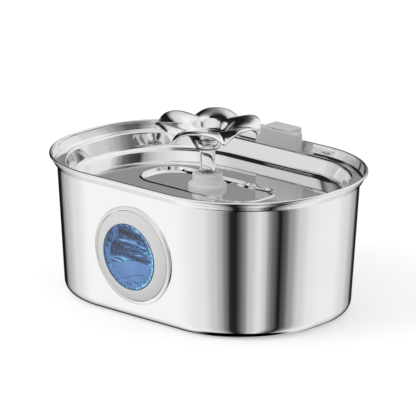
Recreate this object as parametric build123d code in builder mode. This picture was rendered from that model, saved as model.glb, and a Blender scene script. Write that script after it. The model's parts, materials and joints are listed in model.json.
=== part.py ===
from build123d import *
import os
from math import atan, cos, degrees, pi, radians, sin, tan

os.makedirs("parts", exist_ok=True)

# A pet water fountain. A drawn steel tank holds the water. A steel drinking tray hangs in its rim,
# a pump in a filter case lifts the water through a clear tube, and it runs off a six-petal spout.
# Lengths are millimetres. The origin is the middle of the tank's base, on the ground. +X runs along
# the tank, -Y is the front with the window, +Z is up.

# ---------------------------------------------------------------- tank
TANK_LENGTH = 238.4  # outside of the wall at its top edge
TANK_WIDTH = 167.8
TANK_END_FLAT = 13.8  # straight run across each end, between the corners
WALL_HEIGHT = 99.9  # ground to the step under the rim band
WALL_DRAFT = 5.8  # each wall stands this much further in at the floor
TANK_SHEET = 0.8
FLOOR_EDGE_R = 8.8
BAND_STEP = 2.0  # outward step at the foot of the rim band
BAND_HEIGHT = 6.6  # step to the centre of the rim bead
BAND_FLARE = 2.7
BEAD_R = 1.1

# ---------------------------------------------------------------- drinking tray
TRAY_SHEET = 0.7
TRAY_CLEARANCE = 0.4  # between the flange's edge and the rim band
FLANGE_WIDTH = 7.8  # from the flange's edge to the basin's lip
BASIN_DEPTH = 13.2  # lip to basin floor
BASIN_DRAFT = 4.2  # the basin's wall stands this much further in at its floor
BASIN_EDGE_R = 3.0
PANEL_LENGTH = 113.0  # sunk panel in the middle of the basin
PANEL_WIDTH = 47.0
PANEL_END_FLAT = 5.0
PANEL_DEPTH = 2.0
DRAIN_LENGTH = 12.0
DRAIN_WIDTH = 2.6
DRAIN_PITCH = 38.0
DRAIN_COUNT = 3
DRAIN_EDGE = 2.0  # between the drain slots and the panel's back edge
CABLE_NOTCH_WIDTH = 15.0  # in the tray's flange, under the cable guide
CABLE_NOTCH_DEPTH = 6.0
CABLE_NOTCH_R = 1.25

# ---------------------------------------------------------------- window
WINDOW_Z = 51.0
WINDOW_TRIM_R = 37.6
TRIM_WIDTH = 2.8
TRIM_HEIGHT = 2.4
TRIM_EDGE_R = 1.05
LENS_R = 25.4  # the part of the lens that shows
LENS_LIP = 1.9  # the lens reaches this far behind the bezel's lip
LENS_THICK = 3.6
LIP_THICK = 1.8  # bezel's lip in front of the lens's rebate
BEZEL_HEIGHT = 5.4  # lens face above the wall
BEZEL_EDGE_HEIGHT = 1.9  # cone's low edge above the wall
BEZEL_WALL = 1.7  # threaded sleeve
BEZEL_SLEEVE = 9.0  # sleeve's length behind the wall's outer face
GASKET_THICK = 1.0
WINDOW_CLEARANCE = 0.3
NUT_WALL = 4.6
NUT_THICK = 5.0
NUT_NOTCHES = 8
NUT_NOTCH_R = 2.0

# ---------------------------------------------------------------- spout
HUB_FLANGE_THICK = 3.4
HUB_COLLAR_R = 11.35
HUB_FLANGE_WIDTH = 3.0  # flange's edge outside the collar
HUB_COLLAR_HEIGHT = 11.2  # panel floor to the collar's top
HUB_EDGE_R = 1.0
HUB_SLEEVE_WALL = 1.65
SLEEVE_BELOW_NUT = 5.8
HUB_STOP_THICK = 1.6  # ring in the bore that the tube stands on
HUB_STOP_Z = 5.6  # stop's top, below the panel floor
TRAY_HOLE_CLEARANCE = 0.3
WASHER_THICK = 1.2
HUB_WASHER_WIDTH = 4.1
HUB_NUT_WALL = 3.4
HUB_NUT_THICK = 5.2
HUB_NUT_LOBES = 6
THREAD_CLEARANCE = 0.05
TUBE_R = 5.7
TUBE_WALL = 1.35
TUBE_CLEARANCE = 0.08
TUBE_TOP_Z = 115.2  # where the funnel starts
SEAL_HEIGHT = 2.4
SEAL_WALL = 1.7
SEAL_STANDS = 0.8  # above the collar's top
SEAL_EDGE_R = 0.6
FUNNEL_NECK_R = 9.2
FUNNEL_NECK_RISE = 2.0
FUNNEL_TOP_R = 14.0
FUNNEL_RISE = 10.6
FUNNEL_WALL = 1.2

# ---------------------------------------------------------------- flower
PETALS = 6
FLOWER_R = 39.6
FLOWER_SHEET = 1.3
FLOWER_CLEARANCE = 0.3  # between the cup and the funnel
CUP_DRAIN_R = 3.6  # water comes up through this hole in the cup's floor
THROAT_R = 16.6
VALLEY_Z = 134.6  # creases between the petals, at the throat
VALLEY_DROP = 4.2  # and how far they fall on the way to the rim
CREST_Z = 139.1  # highest point of a petal
CREST_AT = 0.8  # of the flower's radius
ARCH_THROAT = 0.8  # petal's middle above the creases, at the throat
PETAL_STATIONS = 6  # sections that each petal is lofted through

# ---------------------------------------------------------------- cable guide
GUIDE_WIDTH = 41.4
GUIDE_TOP_Z = 114.3
GUIDE_FROM_LIP = 0.3  # front face behind the tray's lip
HUMP_WIDTH = 25.6
HUMP_TOP_Z = 116.7
HUMP_EDGE_R = 1.8
GUIDE_EDGE_R = 1.4
GUIDE_WALL = 2.4
GUIDE_FRONT_WALL = 1.6
GUIDE_LIP_LENGTH = 11.0  # hook down the outside of the rim
GUIDE_CLEARANCE = 0.3
CABLE_WAY_WIDTH = 12.0

# ---------------------------------------------------------------- filter case and cartridge
CASE_LENGTH = 112.0
CASE_WIDTH = 56.0
CASE_WALL = 1.8
CASE_SLOT_WIDTH = 2.5
CASE_SLOT_HEIGHT = 22.0
CASE_SLOT_PITCH = 7.0
CASE_SLOT_COUNT = 9
CASE_SLOT_RISE = 10.0  # case's base to the slots
LEDGE_WIDTH = 3.0  # ledge that carries the cartridge
LEDGE_THICK = 2.0
CARTRIDGE_CLEARANCE = 0.5
CARTRIDGE_HEIGHT = 13.0
CARTRIDGE_WALL = 1.4
CARTRIDGE_STANDS = 1.5  # above the case's rim
CARTRIDGE_GAP = 7.0  # between the cartridge and the hub's sleeve above it
CORE_WALL = 1.5
CORE_CLEARANCE = 2.0  # round the riser pipe
GRILLE_SLOT_WIDTH = 2.4
GRILLE_SLOT_LENGTH = 13.0
GRILLE_SLOT_PITCH = 6.0
GRILLE_SLOT_COUNT = 6  # in each quarter of the grille
GRILLE_SLOT_GAP = 4.0  # between the two rows of slots
FLEECE_THICK = 3.0
MEDIA_CLEARANCE = 0.3

# ---------------------------------------------------------------- pump
PUMP_SIDE_ROOM = 3.0  # extra width on each side of the stator
PUMP_EDGE_R = 3.0
PUMP_GAP = 0.3  # between parts that lie beside each other
CUP_HEIGHT = 5.6
SUCTION_CUP_R = 6.5
SUCTION_CUP_EDGE = 1.4
SUCTION_HOLLOW = 2.8
SUCTION_NECK_R = 4.0
SUCTION_PEG_R = 2.0
SUCTION_PEG_LENGTH = 1.6
SUCTION_SPAN_X = 24.0
SUCTION_SPAN_Y = 20.0
SHAFT_R = 1.2
SHAFT_CLEARANCE = 0.05
BUSH_R = 2.6
BUSH_LENGTH = 2.6
ROTOR_PLAY = 0.5  # end play of the rotor
MAGNET_R = 5.9
MAGNET_CLEARANCE = 0.7
MAGNET_LENGTH = 19.0
WELL_WALL = 1.2
IMPELLER_R = 10.6
IMPELLER_DISC = 1.2
IMPELLER_DEPTH = 8.0
IMPELLER_HUB_R = 3.2
BLADE_COUNT = 6
BLADE_THICK = 1.2
VOLUTE_CLEARANCE = 2.0
STATOR_RING = 4.6  # radial thickness
STATOR_LENGTH = 12.0
STATOR_SLOTS = 4
STATOR_SLOT_WIDTH = 4.0
STATOR_SLOT_DEPTH = 1.2
COIL_RING = 3.9
COIL_LENGTH = 3.0
BOARD_MARGIN = 1.0  # round the board inside the housing
BOARD_THICK = 1.6
BOARD_ROOM = 5.0  # behind the board
POCKET_WALL = 2.0
COVER_THICK = 2.0
SPIGOT_R = 5.0
SPIGOT_WALL = 1.3
SPIGOT_RISE = 9.0
EYE_R = 6.0
SPIDER_WIDTH = 2.0
STRAINER_DEPTH = 10.0
STRAINER_WALL = 1.6
STRAINER_SLOT_WIDTH = 2.2
STRAINER_SLOT_PITCH = 4.0
STRAINER_SLOTS = 5
STRAINER_SLOT_RISE = 15.0
REGULATOR_HEIGHT = 7.0
REGULATOR_KNOB = 5.0
REGULATOR_SIDE = 2.0  # slider beyond the outermost slots
REGULATOR_THICK = 1.4
RAIL_THICK = 1.2
SLIDE_CLEARANCE = 0.15
GLAND_R = 4.0
GLAND_BORE_R = 1.8
GLAND_FLANGE = 1.4
GLAND_LENGTH = 7.0
RISER_WALL = 1.4
RISER_CLEARANCE = 0.1
RISER_GRIP = 7.0  # riser's overlap on the spigot
RISER_ENTRY = 4.5  # and inside the hub's sleeve
FOAM_THICK = 18.0


# ---------------------------------------------------------------- shared geometry
TANK_CORNER_R = (TANK_WIDTH - TANK_END_FLAT) / 2
PANEL_CORNER_R = (PANEL_WIDTH - PANEL_END_FLAT) / 2
SHELF_Z = WALL_HEIGHT + TANK_SHEET  # inside step that carries the tray
BEAD_Z = WALL_HEIGHT + BAND_HEIGHT
RIM_TOP_Z = BEAD_Z + BEAD_R
RIM_OUTSET = BAND_STEP + BAND_FLARE + BEAD_R  # outermost edge of the rim
WALL_ANGLE = degrees(atan(WALL_DRAFT / WALL_HEIGHT))
BAND_ANGLE = degrees(atan(BAND_FLARE / BAND_HEIGHT))

TRAY_TOP_Z = SHELF_Z + TRAY_SHEET
FLANGE_OUTSET = BAND_STEP - TANK_SHEET - TRAY_CLEARANCE
LIP_OUTSET = FLANGE_OUTSET - FLANGE_WIDTH
BASIN_Z = TRAY_TOP_Z - BASIN_DEPTH
BASIN_ANGLE = degrees(atan(BASIN_DRAFT / BASIN_DEPTH))
PANEL_Z = BASIN_Z - PANEL_DEPTH  # top face of the sunk panel
PANEL_UNDER_Z = PANEL_Z - TRAY_SHEET

# The riser, the hub's sleeve and the hole for it follow from the pump's spigot.
RISER_BORE_R = SPIGOT_R + THREAD_CLEARANCE
RISER_R = RISER_BORE_R + RISER_WALL
RISER_SOCKET_R = RISER_R + RISER_CLEARANCE
HUB_SLEEVE_R = RISER_SOCKET_R + HUB_SLEEVE_WALL
HUB_HOLE_R = HUB_SLEEVE_R + TRAY_HOLE_CLEARANCE
SLEEVE_END_Z = PANEL_UNDER_Z - WASHER_THICK - HUB_NUT_THICK - SLEEVE_BELOW_NUT


def wall_outset(z):
    """How far the tank's outer wall stands out at height z, counted from its top edge."""
    return -WALL_DRAFT * (1 - z / WALL_HEIGHT)


def tank_plan(z, outset):
    """Plan of the tank at height z, grown outward by outset."""
    with BuildSketch(Plane.XY.offset(z)) as plan:
        RectangleRounded(TANK_LENGTH + 2 * outset, TANK_WIDTH + 2 * outset, TANK_CORNER_R + outset)
    return plan.sketch


def drafted_block(z, outset, height, angle, edge_r):
    """Solid block of the tank's plan that widens upward, with its bottom edge rounded."""
    with BuildPart() as block:
        extrude(tank_plan(z, outset), amount=height, taper=-angle)
        fillet(block.faces().sort_by(Axis.Z)[0].edges(), edge_r)
    return block.part


def profile(points, plane=Plane.XZ):
    """Closed straight-sided section, drawn as radius and height on the given plane."""
    with BuildSketch(plane) as section:
        with BuildLine():
            Polyline(*points, close=True)
        make_face()
    return section.sketch


def finish(builder, name):
    """Names the finished piece and writes its file."""
    builder.part.label = name
    export_step(builder.part, f"parts/{name}.step")
    print(f"{name}: {len(builder.part.solids())} solid(s), {builder.part.volume / 1000:.2f} cm3")


# ---------------------------------------------------------------- tank
# Drawn from one sheet: a drafted wall, a step that carries the tray, a flared band and a rolled bead.
WINDOW_Y = -(TANK_WIDTH / 2 + wall_outset(WINDOW_Z))
WINDOW_NORMAL = Vector(0, -cos(radians(WALL_ANGLE)), -sin(radians(WALL_ANGLE)))
WINDOW_PLANE = Plane(origin=(0, WINDOW_Y, WINDOW_Z), x_dir=(1, 0, 0), z_dir=WINDOW_NORMAL)
WINDOW_SECTION = Plane(
    origin=(0, WINDOW_Y, WINDOW_Z), x_dir=(1, 0, 0), z_dir=Vector(1, 0, 0).cross(WINDOW_NORMAL)
)
WINDOW_AXIS = Axis((0, WINDOW_Y, WINDOW_Z), WINDOW_NORMAL)
SEAT_R = LENS_R + LENS_LIP  # rebate that holds the lens
SLEEVE_R = SEAT_R + BEZEL_WALL
WALL_HOLE_R = SLEEVE_R + WINDOW_CLEARANCE

tank_outside = drafted_block(0, -WALL_DRAFT, WALL_HEIGHT, WALL_ANGLE, FLOOR_EDGE_R)
tank_inside = drafted_block(
    TANK_SHEET,
    wall_outset(TANK_SHEET) - TANK_SHEET,
    SHELF_Z - TANK_SHEET,
    WALL_ANGLE,
    FLOOR_EDGE_R - TANK_SHEET,
)
bead_path = tank_plan(BEAD_Z, BAND_STEP + BAND_FLARE).face().outer_wire()

with BuildPart() as tank:
    add(tank_outside)
    extrude(tank_plan(WALL_HEIGHT, BAND_STEP), amount=BAND_HEIGHT, taper=-BAND_ANGLE)
    add(tank_inside, mode=Mode.SUBTRACT)
    extrude(
        tank_plan(SHELF_Z, BAND_STEP - TANK_SHEET),
        amount=BAND_HEIGHT,
        taper=-BAND_ANGLE,
        mode=Mode.SUBTRACT,
    )
    with BuildSketch(Plane(origin=bead_path @ 0, z_dir=bead_path % 0)):
        Circle(BEAD_R)
    sweep(path=bead_path)
    with BuildSketch(WINDOW_PLANE):
        Circle(WALL_HOLE_R)
    extrude(amount=FLOOR_EDGE_R, both=True, mode=Mode.SUBTRACT)
finish(tank, "tank")

# ---------------------------------------------------------------- window
# The trim ring lies on the wall round a conical bezel, whose threaded sleeve passes through the wall.
# Sections are drawn as radius and distance in front of the wall.
BEZEL_R = WINDOW_TRIM_R - TRIM_WIDTH - WINDOW_CLEARANCE
WALL_BACK = -TANK_SHEET * cos(radians(WALL_ANGLE))
WASHER_BACK = WALL_BACK - GASKET_THICK
NUT_R = SLEEVE_R + NUT_WALL
REBATE = BEZEL_HEIGHT - LIP_THICK


def window_ring(points):
    """Ring about the window's axis with the given section."""
    with BuildPart() as ring:
        revolve(profile(points, WINDOW_SECTION), axis=WINDOW_AXIS)
    return ring.part


def rectangle_points(inner, outer, low, high):
    """Corners of a rectangular ring section."""
    return [(inner, low), (outer, low), (outer, high), (inner, high)]


with BuildPart() as window_trim_ring:
    add(window_ring(rectangle_points(WINDOW_TRIM_R - TRIM_WIDTH, WINDOW_TRIM_R, 0, TRIM_HEIGHT)))
    front_edges = window_trim_ring.edges().filter_by(GeomType.CIRCLE).sort_by(WINDOW_AXIS)[-2:]
    fillet(front_edges, TRIM_EDGE_R)
finish(window_trim_ring, "window_trim_ring")

with BuildPart() as window_bezel:
    add(
        window_ring(
            [
                (LENS_R, BEZEL_HEIGHT),
                (BEZEL_R, BEZEL_EDGE_HEIGHT),
                (BEZEL_R, GASKET_THICK),
                (SLEEVE_R, GASKET_THICK),
                (SLEEVE_R, -BEZEL_SLEEVE),
                (SEAT_R, -BEZEL_SLEEVE),
                (SEAT_R, REBATE),
                (LENS_R, REBATE),
            ]
        )
    )
finish(window_bezel, "window_bezel")

LENS_BACK = BEZEL_HEIGHT - LENS_THICK
LENS_PLAY = THREAD_CLEARANCE
with BuildPart() as window_lens:
    add(
        window_ring(
            [
                (0, LENS_BACK),
                (SEAT_R - LENS_PLAY, LENS_BACK),
                (SEAT_R - LENS_PLAY, REBATE),
                (LENS_R - LENS_PLAY, REBATE),
                (LENS_R - LENS_PLAY, BEZEL_HEIGHT),
                (0, BEZEL_HEIGHT),
            ]
        )
    )
finish(window_lens, "window_lens")

with BuildPart() as window_gasket:
    add(window_ring(rectangle_points(WALL_HOLE_R, BEZEL_R, 0, GASKET_THICK)))
finish(window_gasket, "window_gasket")

with BuildPart() as window_washer:
    add(window_ring(rectangle_points(WALL_HOLE_R, NUT_R, WASHER_BACK, WALL_BACK)))
finish(window_washer, "window_washer")

with BuildPart() as window_nut:
    add(
        window_ring(
            rectangle_points(
                SLEEVE_R + THREAD_CLEARANCE, NUT_R, WASHER_BACK - NUT_THICK, WASHER_BACK
            )
        )
    )
    with BuildSketch(WINDOW_PLANE.offset(WASHER_BACK)):
        with PolarLocations(NUT_R, NUT_NOTCHES):
            Circle(NUT_NOTCH_R)
    extrude(amount=-NUT_THICK, mode=Mode.SUBTRACT)
finish(window_nut, "window_nut")

# ---------------------------------------------------------------- drinking tray
# Drawn from one sheet: a flange on the tank's step, a basin, and a sunk panel that drains.
LIP_HALF_WIDTH = TANK_WIDTH / 2 + LIP_OUTSET
FLANGE_HALF_WIDTH = TANK_WIDTH / 2 + FLANGE_OUTSET
DRAIN_Y = PANEL_WIDTH / 2 - DRAIN_EDGE - DRAIN_WIDTH / 2
basin_outside = drafted_block(
    BASIN_Z - TRAY_SHEET,
    LIP_OUTSET - BASIN_DRAFT + TRAY_SHEET,
    BASIN_DEPTH,
    BASIN_ANGLE,
    BASIN_EDGE_R + TRAY_SHEET,
)
basin_inside = drafted_block(
    BASIN_Z, LIP_OUTSET - BASIN_DRAFT, BASIN_DEPTH, BASIN_ANGLE, BASIN_EDGE_R
)

with BuildPart() as tray:
    extrude(tank_plan(SHELF_Z, FLANGE_OUTSET), amount=TRAY_SHEET)
    add(basin_outside)
    with BuildSketch(Plane.XY.offset(PANEL_UNDER_Z)):
        RectangleRounded(
            PANEL_LENGTH + 2 * TRAY_SHEET, PANEL_WIDTH + 2 * TRAY_SHEET, PANEL_CORNER_R + TRAY_SHEET
        )
    extrude(amount=PANEL_DEPTH)
    add(basin_inside, mode=Mode.SUBTRACT)
    with BuildSketch(Plane.XY.offset(BASIN_Z)):
        RectangleRounded(PANEL_LENGTH, PANEL_WIDTH, PANEL_CORNER_R)
    extrude(amount=-PANEL_DEPTH, mode=Mode.SUBTRACT)
    with BuildSketch(Plane.XY.offset(PANEL_Z)):
        Circle(HUB_HOLE_R)
        with Locations((0, DRAIN_Y)):
            with GridLocations(DRAIN_PITCH, 0, DRAIN_COUNT, 1):
                SlotOverall(DRAIN_LENGTH, DRAIN_WIDTH)
    extrude(amount=-TRAY_SHEET, mode=Mode.SUBTRACT)
    with BuildSketch(Plane.XY.offset(SHELF_Z)):
        with Locations((0, FLANGE_HALF_WIDTH)):
            RectangleRounded(CABLE_NOTCH_WIDTH, 2 * CABLE_NOTCH_DEPTH, CABLE_NOTCH_R)
    extrude(amount=TRAY_SHEET, mode=Mode.SUBTRACT)
finish(tray, "tray")

# ---------------------------------------------------------------- hub and clear tube
COLLAR_TOP_Z = PANEL_Z + HUB_COLLAR_HEIGHT
STOP_TOP_Z = PANEL_Z - HUB_STOP_Z
TUBE_BORE_R = TUBE_R - TUBE_WALL
TUBE_FIT_R = TUBE_R + TUBE_CLEARANCE
SEAL_TOP_Z = COLLAR_TOP_Z + SEAL_STANDS
SEAL_SEAT_Z = SEAL_TOP_Z - SEAL_HEIGHT
SEAL_R = TUBE_FIT_R + SEAL_WALL
HUB_FLANGE_R = HUB_COLLAR_R + HUB_FLANGE_WIDTH

with BuildPart() as spout_hub:
    revolve(
        profile(
            [
                (TUBE_FIT_R, STOP_TOP_Z),
                (TUBE_FIT_R, SEAL_SEAT_Z),
                (SEAL_R, SEAL_SEAT_Z),
                (SEAL_R, COLLAR_TOP_Z),
                (HUB_COLLAR_R, COLLAR_TOP_Z),
                (HUB_COLLAR_R, PANEL_Z + HUB_FLANGE_THICK),
                (HUB_FLANGE_R, PANEL_Z + HUB_FLANGE_THICK),
                (HUB_FLANGE_R, PANEL_Z),
                (HUB_SLEEVE_R, PANEL_Z),
                (HUB_SLEEVE_R, SLEEVE_END_Z),
                (RISER_SOCKET_R, SLEEVE_END_Z),
                (RISER_SOCKET_R, STOP_TOP_Z - HUB_STOP_THICK),
                (TUBE_BORE_R, STOP_TOP_Z - HUB_STOP_THICK),
                (TUBE_BORE_R, STOP_TOP_Z),
            ]
        )
    )
    collar_edges = spout_hub.edges().filter_by(GeomType.CIRCLE)
    soft_edges = collar_edges.filter_by(lambda edge: edge.radius > HUB_SLEEVE_R + HUB_EDGE_R)
    fillet(soft_edges.filter_by_position(Axis.Z, PANEL_Z + HUB_EDGE_R, COLLAR_TOP_Z), HUB_EDGE_R)
finish(spout_hub, "spout_hub")

with BuildPart() as tube_seal:
    revolve(profile(rectangle_points(TUBE_FIT_R, SEAL_R, SEAL_SEAT_Z, SEAL_TOP_Z)))
    fillet(tube_seal.edges().filter_by(GeomType.CIRCLE).group_by(Axis.Z)[-1], SEAL_EDGE_R)
finish(tube_seal, "tube_seal")

WASHER_UNDER_Z = PANEL_UNDER_Z - WASHER_THICK
with BuildPart() as hub_washer:
    revolve(
        profile(
            rectangle_points(
                HUB_HOLE_R, HUB_HOLE_R + HUB_WASHER_WIDTH, WASHER_UNDER_Z, PANEL_UNDER_Z
            )
        )
    )
finish(hub_washer, "hub_washer")

with BuildPart() as hub_nut:
    with BuildSketch(Plane.XY.offset(WASHER_UNDER_Z)):
        RegularPolygon(HUB_SLEEVE_R + HUB_NUT_WALL, HUB_NUT_LOBES, major_radius=False)
        Circle(HUB_SLEEVE_R + THREAD_CLEARANCE, mode=Mode.SUBTRACT)
    extrude(amount=-HUB_NUT_THICK)
finish(hub_nut, "hub_nut")

NECK_Z = TUBE_TOP_Z + FUNNEL_NECK_RISE
FUNNEL_TOP_Z = TUBE_TOP_Z + FUNNEL_RISE
FUNNEL_SLOPE = (FUNNEL_TOP_R - FUNNEL_NECK_R) / (FUNNEL_TOP_Z - NECK_Z)
with BuildPart() as spout_tube:
    revolve(
        profile(
            [
                (TUBE_BORE_R, STOP_TOP_Z),
                (TUBE_R, STOP_TOP_Z),
                (TUBE_R, TUBE_TOP_Z),
                (FUNNEL_NECK_R, NECK_Z),
                (FUNNEL_TOP_R, FUNNEL_TOP_Z),
                (FUNNEL_TOP_R - FUNNEL_WALL, FUNNEL_TOP_Z),
                (FUNNEL_NECK_R - FUNNEL_WALL, NECK_Z + FUNNEL_WALL),
                (TUBE_BORE_R, TUBE_TOP_Z + FUNNEL_WALL),
            ]
        )
    )
    neck_edges = spout_tube.edges().filter_by(GeomType.CIRCLE)
    fillet(neck_edges.filter_by_position(Axis.Z, TUBE_TOP_Z, NECK_Z + FUNNEL_WALL), FUNNEL_WALL)
finish(spout_tube, "spout_tube")

# ---------------------------------------------------------------- flower
# A cup that drops into the funnel, and six petals that arch up between creases. Each petal is lofted
# through arched sections across its own middle line, then the rim is cut round.
PETAL_HALF = pi / PETALS
CUP_UNDER_Z = NECK_Z + FUNNEL_WALL + FLOWER_CLEARANCE
CUP_TOP_Z = FUNNEL_TOP_Z + FLOWER_CLEARANCE
CUP_UNDER_R = FUNNEL_NECK_R - FUNNEL_WALL - FLOWER_CLEARANCE
CUP_TOP_R = FUNNEL_TOP_R - FUNNEL_WALL - FLOWER_CLEARANCE
CREST_R = CREST_AT * FLOWER_R
CREST_FALL = (CREST_Z - VALLEY_Z - ARCH_THROAT) / (CREST_R - THROAT_R) ** 2


def crest_height(radius):
    """Height of a petal's middle line."""
    return CREST_Z - CREST_FALL * (radius - CREST_R) ** 2


def valley_height(radius):
    """Height of the crease between two petals."""
    share = (radius - THROAT_R) / (FLOWER_R - THROAT_R)
    return VALLEY_Z - VALLEY_DROP * share * abs(share)


with BuildPart() as petal:
    first = THROAT_R - FLOWER_SHEET / 2
    last = FLOWER_R + FLOWER_SHEET
    for station in range(PETAL_STATIONS):
        along = first + (last - first) * station / (PETAL_STATIONS - 1)
        half_width = along * tan(PETAL_HALF)
        corner_z = valley_height(along / cos(PETAL_HALF))
        middle_z = crest_height(along)
        with BuildSketch(Plane.YZ.offset(along)):
            with BuildLine():
                ThreePointArc((-half_width, corner_z), (0, middle_z), (half_width, corner_z))
                Line((half_width, corner_z), (half_width, corner_z - FLOWER_SHEET))
                ThreePointArc(
                    (half_width, corner_z - FLOWER_SHEET),
                    (0, middle_z - FLOWER_SHEET),
                    (-half_width, corner_z - FLOWER_SHEET),
                )
                Line((-half_width, corner_z - FLOWER_SHEET), (-half_width, corner_z))
            make_face()
    loft()

THROAT_TOP_Z = VALLEY_Z
with BuildPart() as flower_spout:
    revolve(
        profile(
            [
                (CUP_DRAIN_R, CUP_UNDER_Z),
                (CUP_UNDER_R, CUP_UNDER_Z),
                (CUP_TOP_R, CUP_TOP_Z),
                (THROAT_R - FLOWER_SHEET / 2, CUP_TOP_Z + FLOWER_SHEET),
                (THROAT_R + FLOWER_SHEET, THROAT_TOP_Z - FLOWER_SHEET / 2),
                (THROAT_R, THROAT_TOP_Z),
                (THROAT_R - 2 * FLOWER_SHEET, CUP_TOP_Z + 2 * FLOWER_SHEET),
                (CUP_TOP_R - FLOWER_SHEET, CUP_TOP_Z + FLOWER_SHEET),
                (CUP_UNDER_R - FLOWER_SHEET, CUP_UNDER_Z + FLOWER_SHEET),
                (CUP_DRAIN_R, CUP_UNDER_Z + FLOWER_SHEET),
            ]
        )
    )
    with PolarLocations(0, PETALS):
        add(petal.part)
    with BuildSketch(Plane.XY.offset(CUP_UNDER_Z)):
        Circle(FLOWER_R)
    extrude(amount=CREST_Z - CUP_UNDER_Z, mode=Mode.INTERSECT)
finish(flower_spout, "flower_spout")

# ---------------------------------------------------------------- cable guide
# A block on the tray's flange inside the rim, and a hump with a hook that goes over the rim.
GUIDE_FRONT_Y = LIP_HALF_WIDTH + GUIDE_FROM_LIP
GUIDE_BACK_Y = TANK_WIDTH / 2 + BAND_STEP - TANK_SHEET - GUIDE_CLEARANCE
HOOK_Y = TANK_WIDTH / 2 + RIM_OUTSET + GUIDE_CLEARANCE
HOOK_BACK_Y = HOOK_Y + GUIDE_WALL
OVER_RIM_Z = RIM_TOP_Z + GUIDE_CLEARANCE
GUIDE_UNDER_Z = TRAY_TOP_Z
CABLE_TOP_Z = HUMP_TOP_Z - GUIDE_WALL
WAY_FRONT_Y = GUIDE_FRONT_Y + GUIDE_FRONT_WALL


def block(x_size, y_low, y_high, z_low, z_high):
    """Box centred on the YZ plane."""
    with BuildPart() as box:
        with Locations((0, (y_low + y_high) / 2, (z_low + z_high) / 2)):
            Box(x_size, y_high - y_low, z_high - z_low)
    return box.part


with BuildPart() as cable_guide:
    add(block(GUIDE_WIDTH, GUIDE_FRONT_Y, GUIDE_BACK_Y, GUIDE_UNDER_Z, GUIDE_TOP_Z))
    fillet(cable_guide.edges().filter_by(Axis.Z), GUIDE_EDGE_R)
    fillet(cable_guide.faces().sort_by(Axis.Z)[-1].edges(), GUIDE_EDGE_R / 2)
    add(block(HUMP_WIDTH, GUIDE_FRONT_Y + GUIDE_WALL, HOOK_BACK_Y, OVER_RIM_Z, HUMP_TOP_Z))
    add(block(HUMP_WIDTH, HOOK_Y, HOOK_BACK_Y, RIM_TOP_Z - GUIDE_LIP_LENGTH, HUMP_TOP_Z))
    hump_top = cable_guide.faces().filter_by(Axis.Z).sort_by(Axis.Z)[-1]
    fillet(hump_top.edges(), HUMP_EDGE_R)
    add(
        block(CABLE_WAY_WIDTH, WAY_FRONT_Y, GUIDE_BACK_Y, GUIDE_UNDER_Z, CABLE_TOP_Z),
        mode=Mode.SUBTRACT,
    )
    add(
        block(CABLE_WAY_WIDTH, GUIDE_BACK_Y, HOOK_BACK_Y, OVER_RIM_Z, CABLE_TOP_Z),
        mode=Mode.SUBTRACT,
    )
finish(cable_guide, "cable_guide")

# ---------------------------------------------------------------- filter case
CASE_Z = TANK_SHEET  # stands on the tank's floor
CASE_FLOOR_Z = CASE_Z + CASE_WALL
LEDGE_Z = SLEEVE_END_Z - CARTRIDGE_GAP - CARTRIDGE_HEIGHT
CASE_HEIGHT = LEDGE_Z + CARTRIDGE_HEIGHT - CARTRIDGE_STANDS - CASE_Z


def obround(z, grow, height, hole_r=0):
    """Slab with the filter case's inner plan, grown outward by grow, with a hole in its middle."""
    with BuildPart() as slab:
        with BuildSketch(Plane.XY.offset(z)):
            SlotOverall(CASE_LENGTH - 2 * CASE_WALL + 2 * grow, CASE_WIDTH - 2 * CASE_WALL + 2 * grow)
            if hole_r:
                Circle(hole_r, mode=Mode.SUBTRACT)
        extrude(amount=height)
    return slab.part


with BuildPart() as filter_case:
    add(obround(CASE_Z, CASE_WALL, CASE_HEIGHT))
    add(obround(CASE_FLOOR_Z, 0, CASE_HEIGHT), mode=Mode.SUBTRACT)
    with BuildSketch(Plane.XZ.offset(-CASE_WIDTH)):
        with Locations((0, CASE_Z + CASE_SLOT_RISE + CASE_SLOT_HEIGHT / 2)):
            with GridLocations(CASE_SLOT_PITCH, 0, CASE_SLOT_COUNT, 1):
                SlotOverall(CASE_SLOT_HEIGHT, CASE_SLOT_WIDTH, rotation=90)
    extrude(amount=2 * CASE_WIDTH, mode=Mode.SUBTRACT)
    add(obround(LEDGE_Z - LEDGE_THICK, 0, LEDGE_THICK))
    add(obround(LEDGE_Z - LEDGE_THICK, -LEDGE_WIDTH, LEDGE_THICK), mode=Mode.SUBTRACT)
finish(filter_case, "filter_case")

# ---------------------------------------------------------------- filter cartridge
CORE_BORE_R = RISER_R + CORE_CLEARANCE
CORE_R = CORE_BORE_R + CORE_WALL
CARTRIDGE_TOP_Z = LEDGE_Z + CARTRIDGE_HEIGHT
GRILLE_Z = CARTRIDGE_TOP_Z - CARTRIDGE_WALL
SHELL_GROW = -CARTRIDGE_CLEARANCE
FILL_GROW = SHELL_GROW - CARTRIDGE_WALL
FILL_Z = LEDGE_Z + CARTRIDGE_WALL
FLEECE_Z = GRILLE_Z - MEDIA_CLEARANCE - FLEECE_THICK


def grille_slots(z):
    """Rows of slots on both sides of the core, through one grille plate."""
    with BuildPart() as slots:
        with BuildSketch(Plane.XY.offset(z)):
            row_y = (GRILLE_SLOT_GAP + GRILLE_SLOT_LENGTH) / 2
            side_x = CORE_R + GRILLE_SLOT_PITCH * GRILLE_SLOT_COUNT / 2
            with Locations((-side_x, -row_y), (-side_x, row_y), (side_x, -row_y), (side_x, row_y)):
                with GridLocations(GRILLE_SLOT_PITCH, 0, GRILLE_SLOT_COUNT, 1):
                    SlotOverall(GRILLE_SLOT_LENGTH, GRILLE_SLOT_WIDTH, rotation=90)
        extrude(amount=CARTRIDGE_WALL)
    return slots.part


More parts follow.
